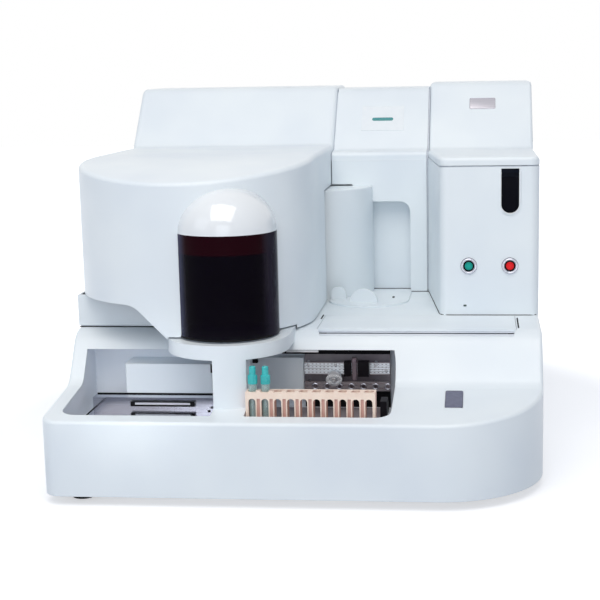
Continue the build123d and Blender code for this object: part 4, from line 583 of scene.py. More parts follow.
@dataclass(frozen=True)
class PowderCoat(Finish):
    """Baked powder paint on steel: a low orange peel that breaks the highlight up."""

    peel: float = 2.2

    def dress(self, paint: Paint) -> None:
        """Peel cells of about 2 mm, and a faint tone drift.

        Args:
            paint: the material's paint.
        """
        paint.give({"Base Color": paint.blend(paint.mottle(60.0, 0.0, 0.16), self.colour, "#ffffff")})
        self.vary(paint, 20.0, 0.05)
        paint.roughen(paint.mottle(self.peel, 0.0, 1.0, 1.0), 0.05)


@dataclass(frozen=True)
class SmokedAcrylic(Finish):
    """Smoked acrylic sheet, bent and polished: nearly black and see-through, with a red-brown cast where
    the light cover behind its upper edge shows, and greyer sides, a painted reflection where the sheet turns
    edge on."""

    cast: str
    high_z: float
    band: float
    opacity: float
    # Spans in X, edge then inner end, of the painted reflections in grey down the left and the right side
    left: Pair = (-500.0, -499.0)
    right: Pair = (500.0, 499.0)
    foot: Pair = (167.0, 118.0)
    dense: float = 0.985
    clear: float = 0.82

    def dress(self, paint: Paint) -> None:
        """The cast fills the upper band over a soft step of 3 mm, each side's grey fades over its width, and
        the foot, given as two drops from the top, is the clearest.

        Args:
            paint: the material's paint.
        """
        spot = paint.apart()
        start = self.high_z - self.band
        upper = paint.ramp(spot["Z"], (start - 1.5) * MM, (start + 1.5) * MM)
        smoke = paint.blend(paint.mottle(30.0, 0.0, 0.3), self.colour, "#080410")
        tone = paint.blend(upper, smoke, self.cast)
        # Painted reflections: each side's grey, where the sheet turns edge on
        for (edge, inner), grey in ((self.left, "#53556e"), (self.right, "#26212f")):
            tone = paint.blend(paint.ramp(spot["X"], inner * MM, edge * MM, shape="SMOOTHSTEP"), tone, grey)
        low, high = ((self.high_z - drop) * MM for drop in self.foot)
        see = paint.work("MULTIPLY", paint.ramp(upper, 0.0, 1.0, self.opacity, self.dense),
                         paint.ramp(spot["Z"], low, high, self.clear, 1.0, "SMOOTHSTEP"))
        paint.give({"Base Color": tone, "Alpha": see, "IOR": 1.49, "Specular IOR Level": 0.025})
        self.vary(paint, 25.0, 0.02)


@dataclass(frozen=True)
class ClearPolymer(Finish):
    """Blown or drawn clear polymer: see-through on its face, denser at its rim, glossy."""

    face: float
    rim: float
    ior: float

    def dress(self, paint: Paint) -> None:
        """Density follows the facing, and faint flow marks of about 6 mm.

        Args:
            paint: the material's paint.
        """
        facing = paint.add("ShaderNodeLayerWeight", {"Blend": 0.35}).outputs["Facing"]
        paint.give({"Base Color": paint.blend(paint.mottle(6.0, 0.0, 0.25), self.colour, "#ffffff"),
                    "Alpha": paint.ramp(facing, 0.0, 1.0, self.face, self.rim), "IOR": self.ior})
        self.vary(paint, 8.0, 0.02)


@dataclass(frozen=True)
class LampLens(Finish):
    """Diffusing polycarbonate over a lamp: its own colour, paler in a fine cloud, and a faint glow."""

    glow: float
    grain: float = 1.6

    def dress(self, paint: Paint) -> None:
        """A cloudy body of 1.6 mm grain, under a gloss skin.

        Args:
            paint: the material's paint.
        """
        tone = paint.blend(paint.mottle(self.grain, 0.0, 0.18), self.colour, "#ffffff")
        # The glow is the lit bar's own light, and painted light on the unlit status lamp
        paint.give({"Base Color": tone, "Emission Color": tone, "Emission Strength": self.glow,
                    "Specular IOR Level": 0.2})
        self.vary(paint, 10.0, 0.03)


@dataclass(frozen=True)
class MouldedPlastic(Finish):
    """Small moulding in solid-coloured plastic: a fine matt grain, or polished where it is smooth."""

    shade: str
    grain: float = 1.2
    relief: float = 0.03
    sheen: float = 0.5

    def dress(self, paint: Paint) -> None:
        """Spark-eroded grain about 0.2 mm drawn at 1.2 mm, and patches of tone 12 mm wide.

        Args:
            paint: the material's paint.
        """
        tone = paint.blend(paint.mottle(12.0, 0.0, 1.0), self.colour, self.shade)
        paint.give({"Base Color": tone, "Specular IOR Level": self.sheen})
        self.vary(paint, 8.0, 0.04)
        paint.roughen(paint.mottle(self.grain, 0.0, 1.0), self.relief)


@dataclass(frozen=True)
class RackPlastic(MouldedPlastic):
    """Glass-filled nylon rack: cream faces, and a pinker tone in its grooves and on the flanks of its
    windows, where the light bounces between the walls."""

    pitch: float = 20.0
    first_x: float = -71.0
    groove: float = 2.7
    sunk: Pair = (-404.0, -401.0)
    flank_share: float = 0.7
    groove_share: float = 0.8

    def dress(self, paint: Paint) -> None:
        """Pinker where a face looks along X, or near a tooth line and within the sunk range of Y.

        Args:
            paint: the material's paint.
        """
        super().dress(paint)
        side = paint.apart(paint.add("ShaderNodeTexCoord").outputs["Normal"])["X"]
        flank = paint.work("MULTIPLY", paint.work("ABSOLUTE", side), self.flank_share)
        spot = paint.apart()
        along = paint.work("SUBTRACT", paint.work("DIVIDE", spot["X"], MM), self.first_x)
        near = paint.work("LESS_THAN", paint.work("PINGPONG", along, self.pitch / 2), self.groove)
        front, back = (y * MM for y in self.sunk)
        inside = paint.work("MULTIPLY", near, paint.work("GREATER_THAN", spot["Y"], front))
        deep = paint.work("MULTIPLY", paint.work("LESS_THAN", spot["Y"], back), self.groove_share)
        pink = paint.work("MAXIMUM", flank, paint.work("MULTIPLY", inside, deep))
        paint.give({"Base Color": paint.blend(pink, paint.tone(), "#cf9b90")})


@dataclass(frozen=True)
class PerforatedSteel(SheetSteel):
    """Bright strip with four rows of punched dashes above a given height, plain brushed steel below it."""

    pitch: Pair = (6.4, 4.6)
    dash: Pair = (2.6, 1.1)
    low_z: float = 163.2
    high_z: float = 181.0

    def dress(self, paint: Paint) -> None:
        """A dash is where pingpong(x, p / 2) and pingpong(z, q / 2) are both under its half size.

        Args:
            paint: the material's paint.
        """
        super().dress(paint)
        spot = paint.apart()
        away = [paint.work("PINGPONG", paint.work("DIVIDE", spot[axis], MM), step / 2)
                for axis, step in zip("XZ", self.pitch)]
        inside = [paint.work("LESS_THAN", near, size / 2) for near, size in zip(away, self.dash)]
        band = paint.work("MULTIPLY", paint.work("GREATER_THAN", spot["Z"], self.low_z * MM),
                          paint.work("LESS_THAN", spot["Z"], self.high_z * MM))
        dot = paint.work("MULTIPLY", paint.work("MULTIPLY", *inside), band)
        tone = paint.blend(dot, paint.blend(band, paint.tone(), "#dfe7ee"), "#88838f")
        paint.give({"Base Color": tone, "Metallic": paint.ramp(band, 0.0, 1.0, 1.0, 0.4)})


@dataclass(frozen=True)
class SensorBank(Finish):
    """The small parts on the strip, told apart by where they stand along X: a steel hub, two black
    sensor housings, a brown bracket between them and a dark pawl at the end."""

    stops: tuple[tuple[float, str, float], ...]

    def dress(self, paint: Paint) -> None:
        """Constant steps along X give colour and metal, over a fine grain of 1.2 mm.

        Args:
            paint: the material's paint.
        """
        across = paint.apart()["X"]
        (_, tone, metal), *later = self.stops
        for start, colour, shine in later:
            past = paint.work("GREATER_THAN", across, start * MM)
            tone = paint.blend(past, tone, colour)
            metal = paint.add("ShaderNodeMix", {0: past, 2: metal, 3: shine}).outputs[0]
        paint.give({"Base Color": tone, "Metallic": metal, "Specular IOR Level": 0.12})
        self.vary(paint, 6.0, 0.05)
        paint.roughen(paint.mottle(1.2, 0.0, 1.0), 0.03)


@dataclass(frozen=True)
class PressedCap(Finish):
    """Glossy two-shot button cap with a painted highlight: a paler domed middle and a deeper rim."""

    # The paler colour of the painted highlight in the middle
    middle: str
    centre: Vec
    radius: float

    def dress(self, paint: Paint) -> None:
        """The painted highlight runs from the paler middle to the deeper rim, over the cap's radius.

        Args:
            paint: the material's paint.
        """
        shift = {"Vector": paint.place, "Location": [-c * MM for c in self.centre]}
        away = paint.length(paint.add("ShaderNodeMapping", shift).outputs["Vector"])
        ring = paint.ramp(away, self.radius * 0.25 * MM, self.radius * MM)
        mixed = paint.work("MULTIPLY", ring, paint.mottle(1.5, 0.9, 1.1))
        paint.give({"Base Color": paint.blend(mixed, self.middle, self.colour), "Coat Weight": 0.1,
                    "Coat Roughness": 0.08, "Specular IOR Level": 0.15})
        self.vary(paint, 5.0, 0.03)


# Structural foam, sprayed: cool white with a satin highlight
SHELL = MouldedHousing("satin_sprayed_housing", "shell_white", "#ebf3f7", 0.36, "#e2ebf2", "#fbfdff")
# ABS as it leaves the mould, in the pools: a coarser pebble, flatter
TROUGH = MouldedHousing("pebbled_abs_trough", "trough_white", "#ecf1f8", 0.5, "#e2e9f2", "#f4f7fb", 2.4, 0.05)
# ABS dome, polished and lacquered: the only mirror-like white
DOME = MouldedHousing("polished_abs_dome", "dome_white", "#e8edf1", 0.12, "#e2e8ec", "#ffffff", 30.0, 0.02,
                      0.8, 1.0)
# ABS arm covers, moulded in a polished tool: glossier than the housing
ARM = MouldedHousing("gloss_abs_arm_cover", "arm_white", "#e3e8ee", 0.3, "#d8dfe8", "#f6f8fb")
# Powder paint on folded steel: pale inside, umber behind the loading pool
PANEL = PowderCoat("pale_powder_paint", "panel_grey", "#d3d8de", 0.42)
DARK_PLATE = PowderCoat("umber_powder_paint", "plate_dark", "#6f646c", 0.45)
# Polyester film laid on the centre hood: matt and flat
FILM = MouldedPlastic("matt_polyester_film", "plate_white", "#e9f0f4", 0.4, "#e6edf2", 2.0, 0.005)
# Steel ground along its length, for hinges and guides, and up its height, for posts and screws
STEEL = SheetSteel("ground_steel_across", "steel_plain", "#c6c8cc", 0.34, Grain.ACROSS)
STEEL_UPRIGHT = SheetSteel("ground_steel_upright", "steel_plain", "#c9cbd0", 0.3, Grain.UPRIGHT)
# Zinc-plated sheet: duller, with broad streaks
ZINC = SheetSteel("zinc_plated_sheet", "steel_plain", "#b9bcbf", 0.42, Grain.ACROSS, 3.0)
# Stainless steel, rolled and polished: mirrors the pool's walls
BRIGHT = SheetSteel("polished_stainless_tray", "steel_bright", "#c9cad4", 0.13, Grain.ACROSS, 1.2)
# Stainless strip punched with dashes, over a plain brushed rail
STRIP = PerforatedSteel("punched_bright_strip", "steel_bright", "#b3afb6", 0.3, Grain.ACROSS)
# Aluminium, satin anodised: a soft sheen on the small plate and on the bezels
NAME_PLATE = SheetSteel("satin_anodised_badge", "bezel_grey", "#b4b3bd", 0.42, Grain.ACROSS, 1.0)
BEZEL = SheetSteel("satin_anodised_ring", "bezel_grey", "#b9bcc8", 0.32, Grain.UPRIGHT, 1.0)
# Smoked acrylic: bent for the drum, with painted reflections in grey down its sides, flat in the tower
SMOKED = SmokedAcrylic("smoked_acrylic_window", "smoked_glass", "#030009", 0.06, "#1f0009", 408.5, 30.5, 0.955,
                       (-189.0, -166.0), (-39.0, -52.0))
SLOT_SMOKED = SmokedAcrylic("smoked_acrylic_slot", "smoked_glass", "#0a0c14", 0.08, "#10141e", 484.0,
                            12.0, 0.95)
# Glass-filled nylon, black and spark-eroded: takes almost no highlight
BLACK = MouldedPlastic("black_glass_filled_nylon", "black_plastic", "#08080c", 0.62, "#0d0d12", sheen=0.12)
# Moulded rubber, and foam strip cut to length: both dull
GASKET = MouldedPlastic("black_rubber", "rubber_black", "#0a0a0d", 0.75, "#121216", 1.6, 0.05, 0.15)
SEAL = MouldedPlastic("grey_foam_seal", "rubber_black", "#d3d9e1", 0.8, "#c9d0da", 1.4, 0.05)
# Glass-filled nylon rack, moulded in cream
BEIGE = RackPlastic("cream_glass_filled_nylon", "rack_beige", "#fbe9d9", 0.5, "#f6e0cf")
# Polyethylene tube cap: waxy gloss
CAP = MouldedPlastic("teal_polyethylene_cap", "cap_teal", "#38bfc0", 0.28, "#26a8ab", 2.0, 0.02)
# Elastomer key: soft and matt
SLATE = MouldedPlastic("slate_elastomer_key", "key_slate", "#676a80", 0.55, "#5b5e74", 1.6, 0.03)
# Acetal filled with graphite, turned: dark with a dry sheen
ROTOR = MouldedPlastic("graphite_filled_acetal", "rotor_grey", "#33363c", 0.45, "#3d4047")
# ABS waste bin, moulded in grey
BIN = MouldedPlastic("grey_abs_bin", "bin_grey", "#8f9197", 0.5, "#85878e")
# Polystyrene, drawn or moulded clear: faintly green through two walls
TUBE = ClearPolymer("clear_polystyrene_tube", "tube_clear", "#b9dcd9", 0.08, 0.3, 0.8, 1.59)
# Polyurethane ring, cast clear
RING = ClearPolymer("clear_polyurethane_ring", "tube_clear", "#eef2f5", 0.08, 0.25, 0.9, 1.5)
# Borosilicate glass, blown amber
AMBER = ClearPolymer("amber_borosilicate_vial", "vial_amber", "#8a4a14", 0.06, 0.65, 0.95, 1.52)
# Polyethylene bottle, blown without pigment: milky
BOTTLE = ClearPolymer("natural_polyethylene_bottle", "bottle_white", "#e6e8e4", 0.35, 0.86, 0.97, 1.51)
# Polycarbonate lenses: the lit bar on the hood, and the unlit lamp on the tower, whose faint glow is painted
# light
TEAL_LAMP = LampLens("teal_diffuser_lens", "light_teal", "#008487", 0.3, 0.06)
STATUS_LAMP = LampLens("dark_green_diffuser_lens", "black_plastic", "#1f3f3a", 0.3, 0.02)
# Polycarbonate caps, two shots in one mould: saturated and glossy, with a painted highlight in the middle
GREEN_CAP = PressedCap("green_gloss_button", "button_green", "#00857a", 0.3, "#00a395",
                       (268.0, -103.5, 321.0), 7.5)
RED_CAP = PressedCap("red_gloss_button", "button_red", "#cf0a12", 0.3, "#ee141c",
                     (338.0, -103.5, 321.0), 7.5)
# Nylon housings, a folded bracket and a turned hub, told apart by place
SENSORS = SensorBank("sensor_bank_on_strip", "black_plastic", "#121215", 0.42,
                     ((-400.0, "#b9bbc0", 1.0), (66.0, "#07050b", 0.0), (79.5, "#776b73", 0.4),
                      (88.5, "#07050b", 0.0), (115.0, "#1c1a20", 0.0)))


# Pieces

# Edges that turn by more degrees than this stay sharp, on new pieces and on the copies of CAD nodes
PIECE_SHARP = 35.0
SKIN_SHARP = 24.0
# The large mouldings, each shown by a smooth-shaded copy
SKINS = {"lower_housing", "deck_lid", "left_sill", "main_lid", "view_dome", "view_window", "window_seat",
         "centre_wall", "detector_housing", "centre_hood", "reagent_cover", "tower_panel", "hopper_cover",
         "rack_pools", "rack_readers"}


def linked(name: str, data: bpy.types.ID) -> bpy.types.Object:
    """Put an object into the scene.

    Args:
        name: its name.
        data: its mesh, lamp or camera.

    Returns:
        The object.
    """
    thing = bpy.data.objects.new(name, data)
    bpy.context.scene.collection.objects.link(thing)
    return thing


def turned(right: np.ndarray, up: np.ndarray, back: np.ndarray, spot: Vec) -> Matrix:
    """Work out where an object stands and how it is turned.

    Args:
        right: the direction of its X.
        up: the direction of its Y.
        back: the direction of its Z.
        spot: its place in metres.

    Returns:
        The matrix with these as its columns.
    """
    columns = np.eye(4)
    columns[:3] = np.stack([right, up, back, spot], 1)
    return Matrix(columns.tolist())


def tidy_mesh(mesh: bpy.types.Mesh, sharp: float, turn_out: bool = False, doubled: float = 1e-6) -> None:
    """Merge doubled points and shade the skin smooth.

    Args:
        mesh: the mesh to work on.
        sharp: edges turning by more degrees than this stay sharp.
        turn_out: whether its faces are turned outwards.
        doubled: points nearer to each other than this many metres are one.
    """
    work = bmesh.new()
    work.from_mesh(mesh)
    bmesh.ops.remove_doubles(work, verts=work.verts, dist=doubled)
    if turn_out:
        bmesh.ops.recalc_face_normals(work, faces=work.faces)
    work.to_mesh(mesh)
    work.free()
    kept = mesh.attributes.get("custom_normal")
    if kept:
        mesh.attributes.remove(kept)
    mesh.shade_smooth()
    mesh.set_sharp_from_angle(angle=math.radians(sharp))


def add_piece(name: str, shells: list[Shell], finish: Finish, body: str = "frame") -> bpy.types.Object:
    """Put shells into one mesh in its finish's material, and let it ride on a body.

    Args:
        name: the piece's name.
        shells: its closed surfaces.
        finish: what it is made of.
        body: the CAD body that it rides on.

    Returns:
        The piece.
    """
    starts = np.cumsum([0] + [len(shell.points) for shell in shells])
    faces = [tuple(i + int(start) for i in face)
             for shell, start in zip(shells, starts) for face in shell.faces]
    mesh = bpy.data.meshes.new(name)
    mesh.from_pydata((np.concatenate([shell.points for shell in shells]) * MM).tolist(), [], faces)
    tidy_mesh(mesh, PIECE_SHARP, turn_out=True)
    piece = linked(name, mesh)
    mesh.materials.append(finish.material())
    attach(piece, body)
    LOG.info("piece %s on %s: %d faces", name, body, len(faces))
    return piece


def smooth_skin(node: str, finish: Finish) -> bpy.types.Object:
    """Stand a smooth-shaded copy in for a CAD node, with normals weighted towards its large faces.

    Args:
        node: the CAD node.
        finish: what it is made of.

    Returns:
        The copy.
    """
    source = frame["nodes"][node]
    mesh = source.data.copy()
    tidy_mesh(mesh, SKIN_SHARP)
    skin = linked(f"{node}_skin", mesh)
    mesh.materials.clear()
    mesh.materials.append(finish.material())
    weigh = skin.modifiers.new("weighted", "WEIGHTED_NORMAL")
    weigh.keep_sharp = True
    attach(skin, source["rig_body"])
    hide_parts(node)
    return skin


@dataclass
class SubAssembly:
    """One group of the analyzer: the finishes of its CAD nodes, and its own pieces."""

    # Each CAD node with what it is made of
    finishes: ClassVar[dict[str, Finish]] = {}

    def build(self) -> None:
        """Make the pieces that the CAD doesn't have."""

    def dress(self) -> None:
        """Give each CAD node its finish, the large mouldings on a smooth-shaded copy."""
        for node, finish in self.finishes.items():
            if node in SKINS:
                smooth_skin(node, finish)
            else:
                for place in frame["nodes"][node].material_slots:
                    place.material = finish.material()
            LOG.info("node %s is %s", node, finish.title)

    def complete(self) -> None:
        """Dress the nodes, then make the pieces."""
        self.dress()
        self.build()


@dataclass
class Housing(SubAssembly):
    """Lower housing with its deck lid, base, feet and shelf key."""

    # Place and length of the black pieces, painted shade in the openings at the right and the left end of the
    # deck lid
    slits: tuple[tuple[Vec, float], ...] = (((349.9, -168.5, 233.4), 87.0), ((16.1, -118.5, 233.4), 37.0))
    seal_wide: float = 2.3
    seal_tall: float = 2.2
    sill_foot: Path = ((-386.4, -211.4), (-242.0, -211.4))
    sill_z: float = 235.6

    finishes: ClassVar[dict[str, Finish]] = {
        "lower_housing": SHELL, "deck_lid": SHELL, "left_sill": SHELL, "base_plate": ZINC,
        "rubber_feet": GASKET, "power_supply": ZINC, "shelf_key": SLATE, "bottle_well": TROUGH,
        "reagent_bottles": BOTTLE}

    def build(self) -> None:
        """Fill the openings at the ends of the deck lid with black pieces as painted shade, and lay a black
        seal along the sill's foot.
        """
        seals = [plate(self.seal_wide, length, self.seal_tall, 1.1).placed(spot) for spot, length in self.slits]
        add_piece("deck_shade_and_sill_seal", [*seals, foot_bead(self.sill_foot, self.sill_z)], GASKET)


@dataclass
class MainLid(SubAssembly):
    """Drum lid with its smoked window, dome and window gasket."""

    window: Pair = (-114.0, -294.0)
    radius: float = 81.0
    half_width: float = 74.8
    foot_z: float = 243.5
    bead_tall: float = 1.6
    bead_deep: float = 0.9
    steps: int = 64

    finishes: ClassVar[dict[str, Finish]] = {"main_lid": SHELL, "view_dome": DOME, "view_window": SMOKED}

    def build(self) -> None:
        """Lay the gasket round the window's foot: an oval bead on an arc of the window's radius."""
        reach = math.acos(self.half_width / self.radius)
        turn = np.linspace(math.pi + reach, 2 * math.pi - reach, self.steps)
        x, y = self.window
        path = np.stack([x + self.radius * np.cos(turn), y + self.radius * np.sin(turn),
                         np.full(self.steps, self.foot_z)], -1)
        around = circle(10)
        bead = np.stack([self.bead_tall + self.bead_tall * np.cos(around), self.bead_deep * np.sin(around)], -1)
        add_piece("window_gasket", [swept(bead, path)], GASKET, "main_lid")


@dataclass
class WindowSeat(SubAssembly):
    """The half ring under the window and its column."""

    finishes: ClassVar[dict[str, Finish]] = {"window_seat": SHELL}


@dataclass(frozen=True)
class HoodSlope:
    """The sloped front that the centre hood and the tower's cover share."""

    degrees: float = 48.0
    crest: Pair = (190.0, 503.0)

    def spot(self, across: float, along: float) -> dict[str, Vec]:
        """A spot on the slope: crest + along (0, cos a, sin a).

        Args:
            across: X of the spot.
            along: distance from the crest, up the slope.

        Returns:
            The arguments that place a shell there.
        """
        tilt = math.radians(self.degrees)
        way = (0.0, math.cos(tilt), math.sin(tilt))
        y, z = self.crest
        return {"origin": (across, y + along * way[1], z + along * way[2]), "across": (1, 0, 0), "along": way}


@dataclass
class CentreBay(SubAssembly):
    """Centre recess: wall, detector housing, hood with its lamp plate, and the reagent cover."""

    slope: HoodSlope = HoodSlope()
    latch: Vec = (128.0, 60.0, 238.0)
    latch_size: Pair = (4.0, 7.0)
    plate_spot: Pair = (99.0, 76.7)
    plate_size: Pair = (82.6, 61.2)
    hood_side: Path = (
        (144.5, 237.0), (144.5, 486.5), (146.5, 494.0), (153.0, 499.5), (184.0, 500.8), (194.0, 505.6),
        (286.0, 606.8), (306.0, 615.4), (440.0, 615.6))
    seal_x: Pair = (7.75, 189.0)
    seal_wide: Pair = (1.3, 2.4)
    seal_deep: float = 3.0
    foot: Path = ((82.0, 175.6), (155.6, 175.6), (155.6, 141.6), (189.9, 141.6))
    foot_z: float = 235.3

    finishes: ClassVar[dict[str, Finish]] = {
        "centre_wall": SHELL, "detector_housing": SHELL, "centre_hood": SHELL, "reagent_cover": SHELL,
        "indicator_plate": FILM, "indicator_light": TEAL_LAMP}

    def build(self) -> None:
        """Make the cover's latch, the lamp plate's frame, and the seals in the side gaps and at the foot."""
        add_piece("reagent_cover_latch", [plate(*self.latch_size, 1.6, 1.2, 0.5).placed(self.latch)], BLACK,
                  "reagent_cover")
        border = rim(*self.plate_size, 1.0, 1.6, 1.0)
        add_piece("indicator_frame", [border.placed(**self.slope.spot(*self.plate_spot))], FILM)
        left, right = self.seal_x
        thin, wide = self.seal_wide
        seals = [swept(flat_bar(wide, self.seal_deep), bent(*self.hood_side)).placed((right, 0, 0), **SIDE),
                 swept(flat_bar(thin, self.seal_deep), bent(*self.hood_side[1:])).placed((left, 0, 0), **SIDE)]
        add_piece("side_gap_seals", seals, SEAL)
        add_piece("wall_foot_seal", [foot_bead(self.foot, self.foot_z)], GASKET)


@dataclass
class Tower(SubAssembly):
    """Cuvette tower: panel, slot window, buttons, hinged cover with its bare plate, bin and feed rotor."""

    slope: HoodSlope = HoodSlope()
    plate_spot: Pair = (292.0, 110.5)
    plate_size: Pair = (50.0, 27.0)
    lamp: Vec = (261.5, -100.0, 252.0)
    front_y: float = -100.0
    buttons: Pair = (268.0, 338.0)
    button_z: float = 321.0
    # The rings round each button: name, width, bar radius, Y from the front (below zero is proud), finish
    rings: tuple[tuple[str, float, float, float, Finish], ...] = (
        ("collar_rings", 17.2, 1.25, -2.0, BLACK), ("bezel_beads", 23.0, 1.2, -2.0, BRIGHT),
        ("bezel_shadow_rings", 27.2, 0.45, -0.4, GASKET))
    slot_x: float = 338.0
    slot_z: Pair = (426.0, 486.6)
    slot_half: float = 15.0
    head_tall: float = 7.4
    bead: float = 0.9
    outline: Path = (
        (190.6, 141.0), (217.4, -86.8), (221.2, -95.2), (232.3, -100.0), (372.5, -100.0), (383.1, -95.6))
    foot_z: float = 235.3
    foot_out: float = 0.4
    cover_z: float = 490.3
    cover_in: float = 1.3

    finishes: ClassVar[dict[str, Finish]] = {
        "tower_panel": SHELL, "hopper_cover": SHELL, "tower_window": SLOT_SMOKED, "button_bezels": BEZEL,
        "button_sleeves": BLACK, "start_button": GREEN_CAP, "stop_button": RED_CAP, "cuvette_bin": BIN,
        "feed_rotor": BLACK, "lid_hinges": STEEL}

    def build(self) -> None:
        """Put on the bare plate, the status lamp and the button rings, then the slot's parts and the seals."""
        shells = [plate(*self.plate_size, 0.5, 2.4), rim(*self.plate_size, 1.1, 2.5, 1.2)]
        spot = self.slope.spot(*self.plate_spot)
        add_piece("bare_name_plate", [shell.placed(**spot) for shell in shells], NAME_PLATE, "hopper_cover")
        add_piece("status_lamp", [plate(5.4, 3.2, 0.6, 0.8).placed(self.lamp, **FRONT)], STATUS_LAMP)
        for name, width, thick, shift, finish in self.rings:
            ring = ring_tube(width, width, thick)
            add_piece(name, [ring.placed((x, self.front_y + shift, self.button_z), **FRONT)
                             for x in self.buttons], finish)
        self.dress_slot()
        add_piece("tower_foot_seal", [foot_bead(self.shifted(0.0, -self.foot_out), self.foot_z)], GASKET)
        path = bent(*self.shifted(self.cover_in, self.cover_in))
        add_piece("cover_seal", [swept(flat_bar(1.8, -2.0), path).placed((0, 0, self.cover_z))], SEAL)

    def shifted(self, x: float, y: float) -> Path:
        """The tower's outline, moved by X and Y."""
        return tuple((across + x, back + y) for across, back in self.outline)

    def dress_slot(self) -> None:
        """Close the slot's head, and lay a bead down both its sides and round its foot on a half circle."""
        low, high = self.slot_z
        head = plate(2 * self.slot_half, self.head_tall, 1.7, 0.6)
        add_piece("slot_window_head", [head.placed((self.slot_x, self.front_y, high - self.head_tall / 2),
                                                   **FRONT)], SLOT_SMOKED)
        reach = self.slot_half + 0.8
        turn = np.linspace(math.pi, 2 * math.pi, 33)
        bow = np.stack([reach * np.cos(turn), reach * np.sin(turn), np.zeros_like(turn)], -1)
        path = np.concatenate([[(-reach, high - low, 0.0)], bow, [(reach, high - low, 0.0)]])
        bead = swept(round_bar(self.bead), path).placed((self.slot_x, self.front_y - 1.2, low), **FRONT)
        add_piece("slot_rim_bead", [bead], DOME)


@dataclass
class ReturnPool(SubAssembly):
    """Return pool: trough, reader with its scan slot, bright tray and pusher bar."""

    scan_slot: Vec = (-151.5, -265.0, 176.5)
    tray_screw: Vec = (-150.0, -302.0, 114.0)
    bar: Vec = (-228.5, -294.0, 123.4)
    bar_size: Pair = (107.0, 8.4)
    lip_tall: Pair = (1.8, 2.8)
    lip_end: float = 7.5
    tray_x: Pair = (-345.0, -126.0)
    tray_y: Pair = (-406.0, -291.0)
    step_y: float = -266.0
    seal_z: Pair = (114.3, 133.8)

    finishes: ClassVar[dict[str, Finish]] = {
        "rack_pools": TROUGH, "rack_readers": SHELL, "return_tray": BRIGHT, "rack_pusher": PANEL}

    def build(self) -> None:
        """Make the scan slot, the tray's dark screw and seals, and the black lips of the pusher bar."""
        add_piece("reader_scan_slot", [plate(3.0, 15.0, 0.5, 1.2).placed(self.scan_slot, **FRONT)], BLACK)
        add_piece("tray_screw", [screw_head(2.6).placed(self.tray_screw)], BLACK)
        width, height = self.bar_size
        upper, lower = self.lip_tall
        x, y, z = self.bar
        lips = [plate(width, upper, 1.0, 0.8).placed((x, y, z + height / 2 - upper / 2), **FRONT),
                plate(width, lower, 1.0, 0.8).placed((x, y, z - height / 2 + lower / 2), **FRONT)]
        ends = (x + side * (width - self.lip_end) / 2 for side in (-1, 1))
        lips += [plate(self.lip_end, height, 1.2, 0.8).placed((end, y, z), **FRONT) for end in ends]
        add_piece("pusher_lips", lips, BLACK, "rack_pusher")
        (left, right), (front, back), (low, high) = self.tray_x, self.tray_y, self.seal_z
        lines = [bent((side, front), (side, back)) + (0, 0, low) for side in self.tray_x]
        lines.append(bent((left, self.step_y), (right, self.step_y)) + (0, 0, high))
        add_piece("tray_seals", [swept(round_bar(1.0), line) for line in lines], GASKET)


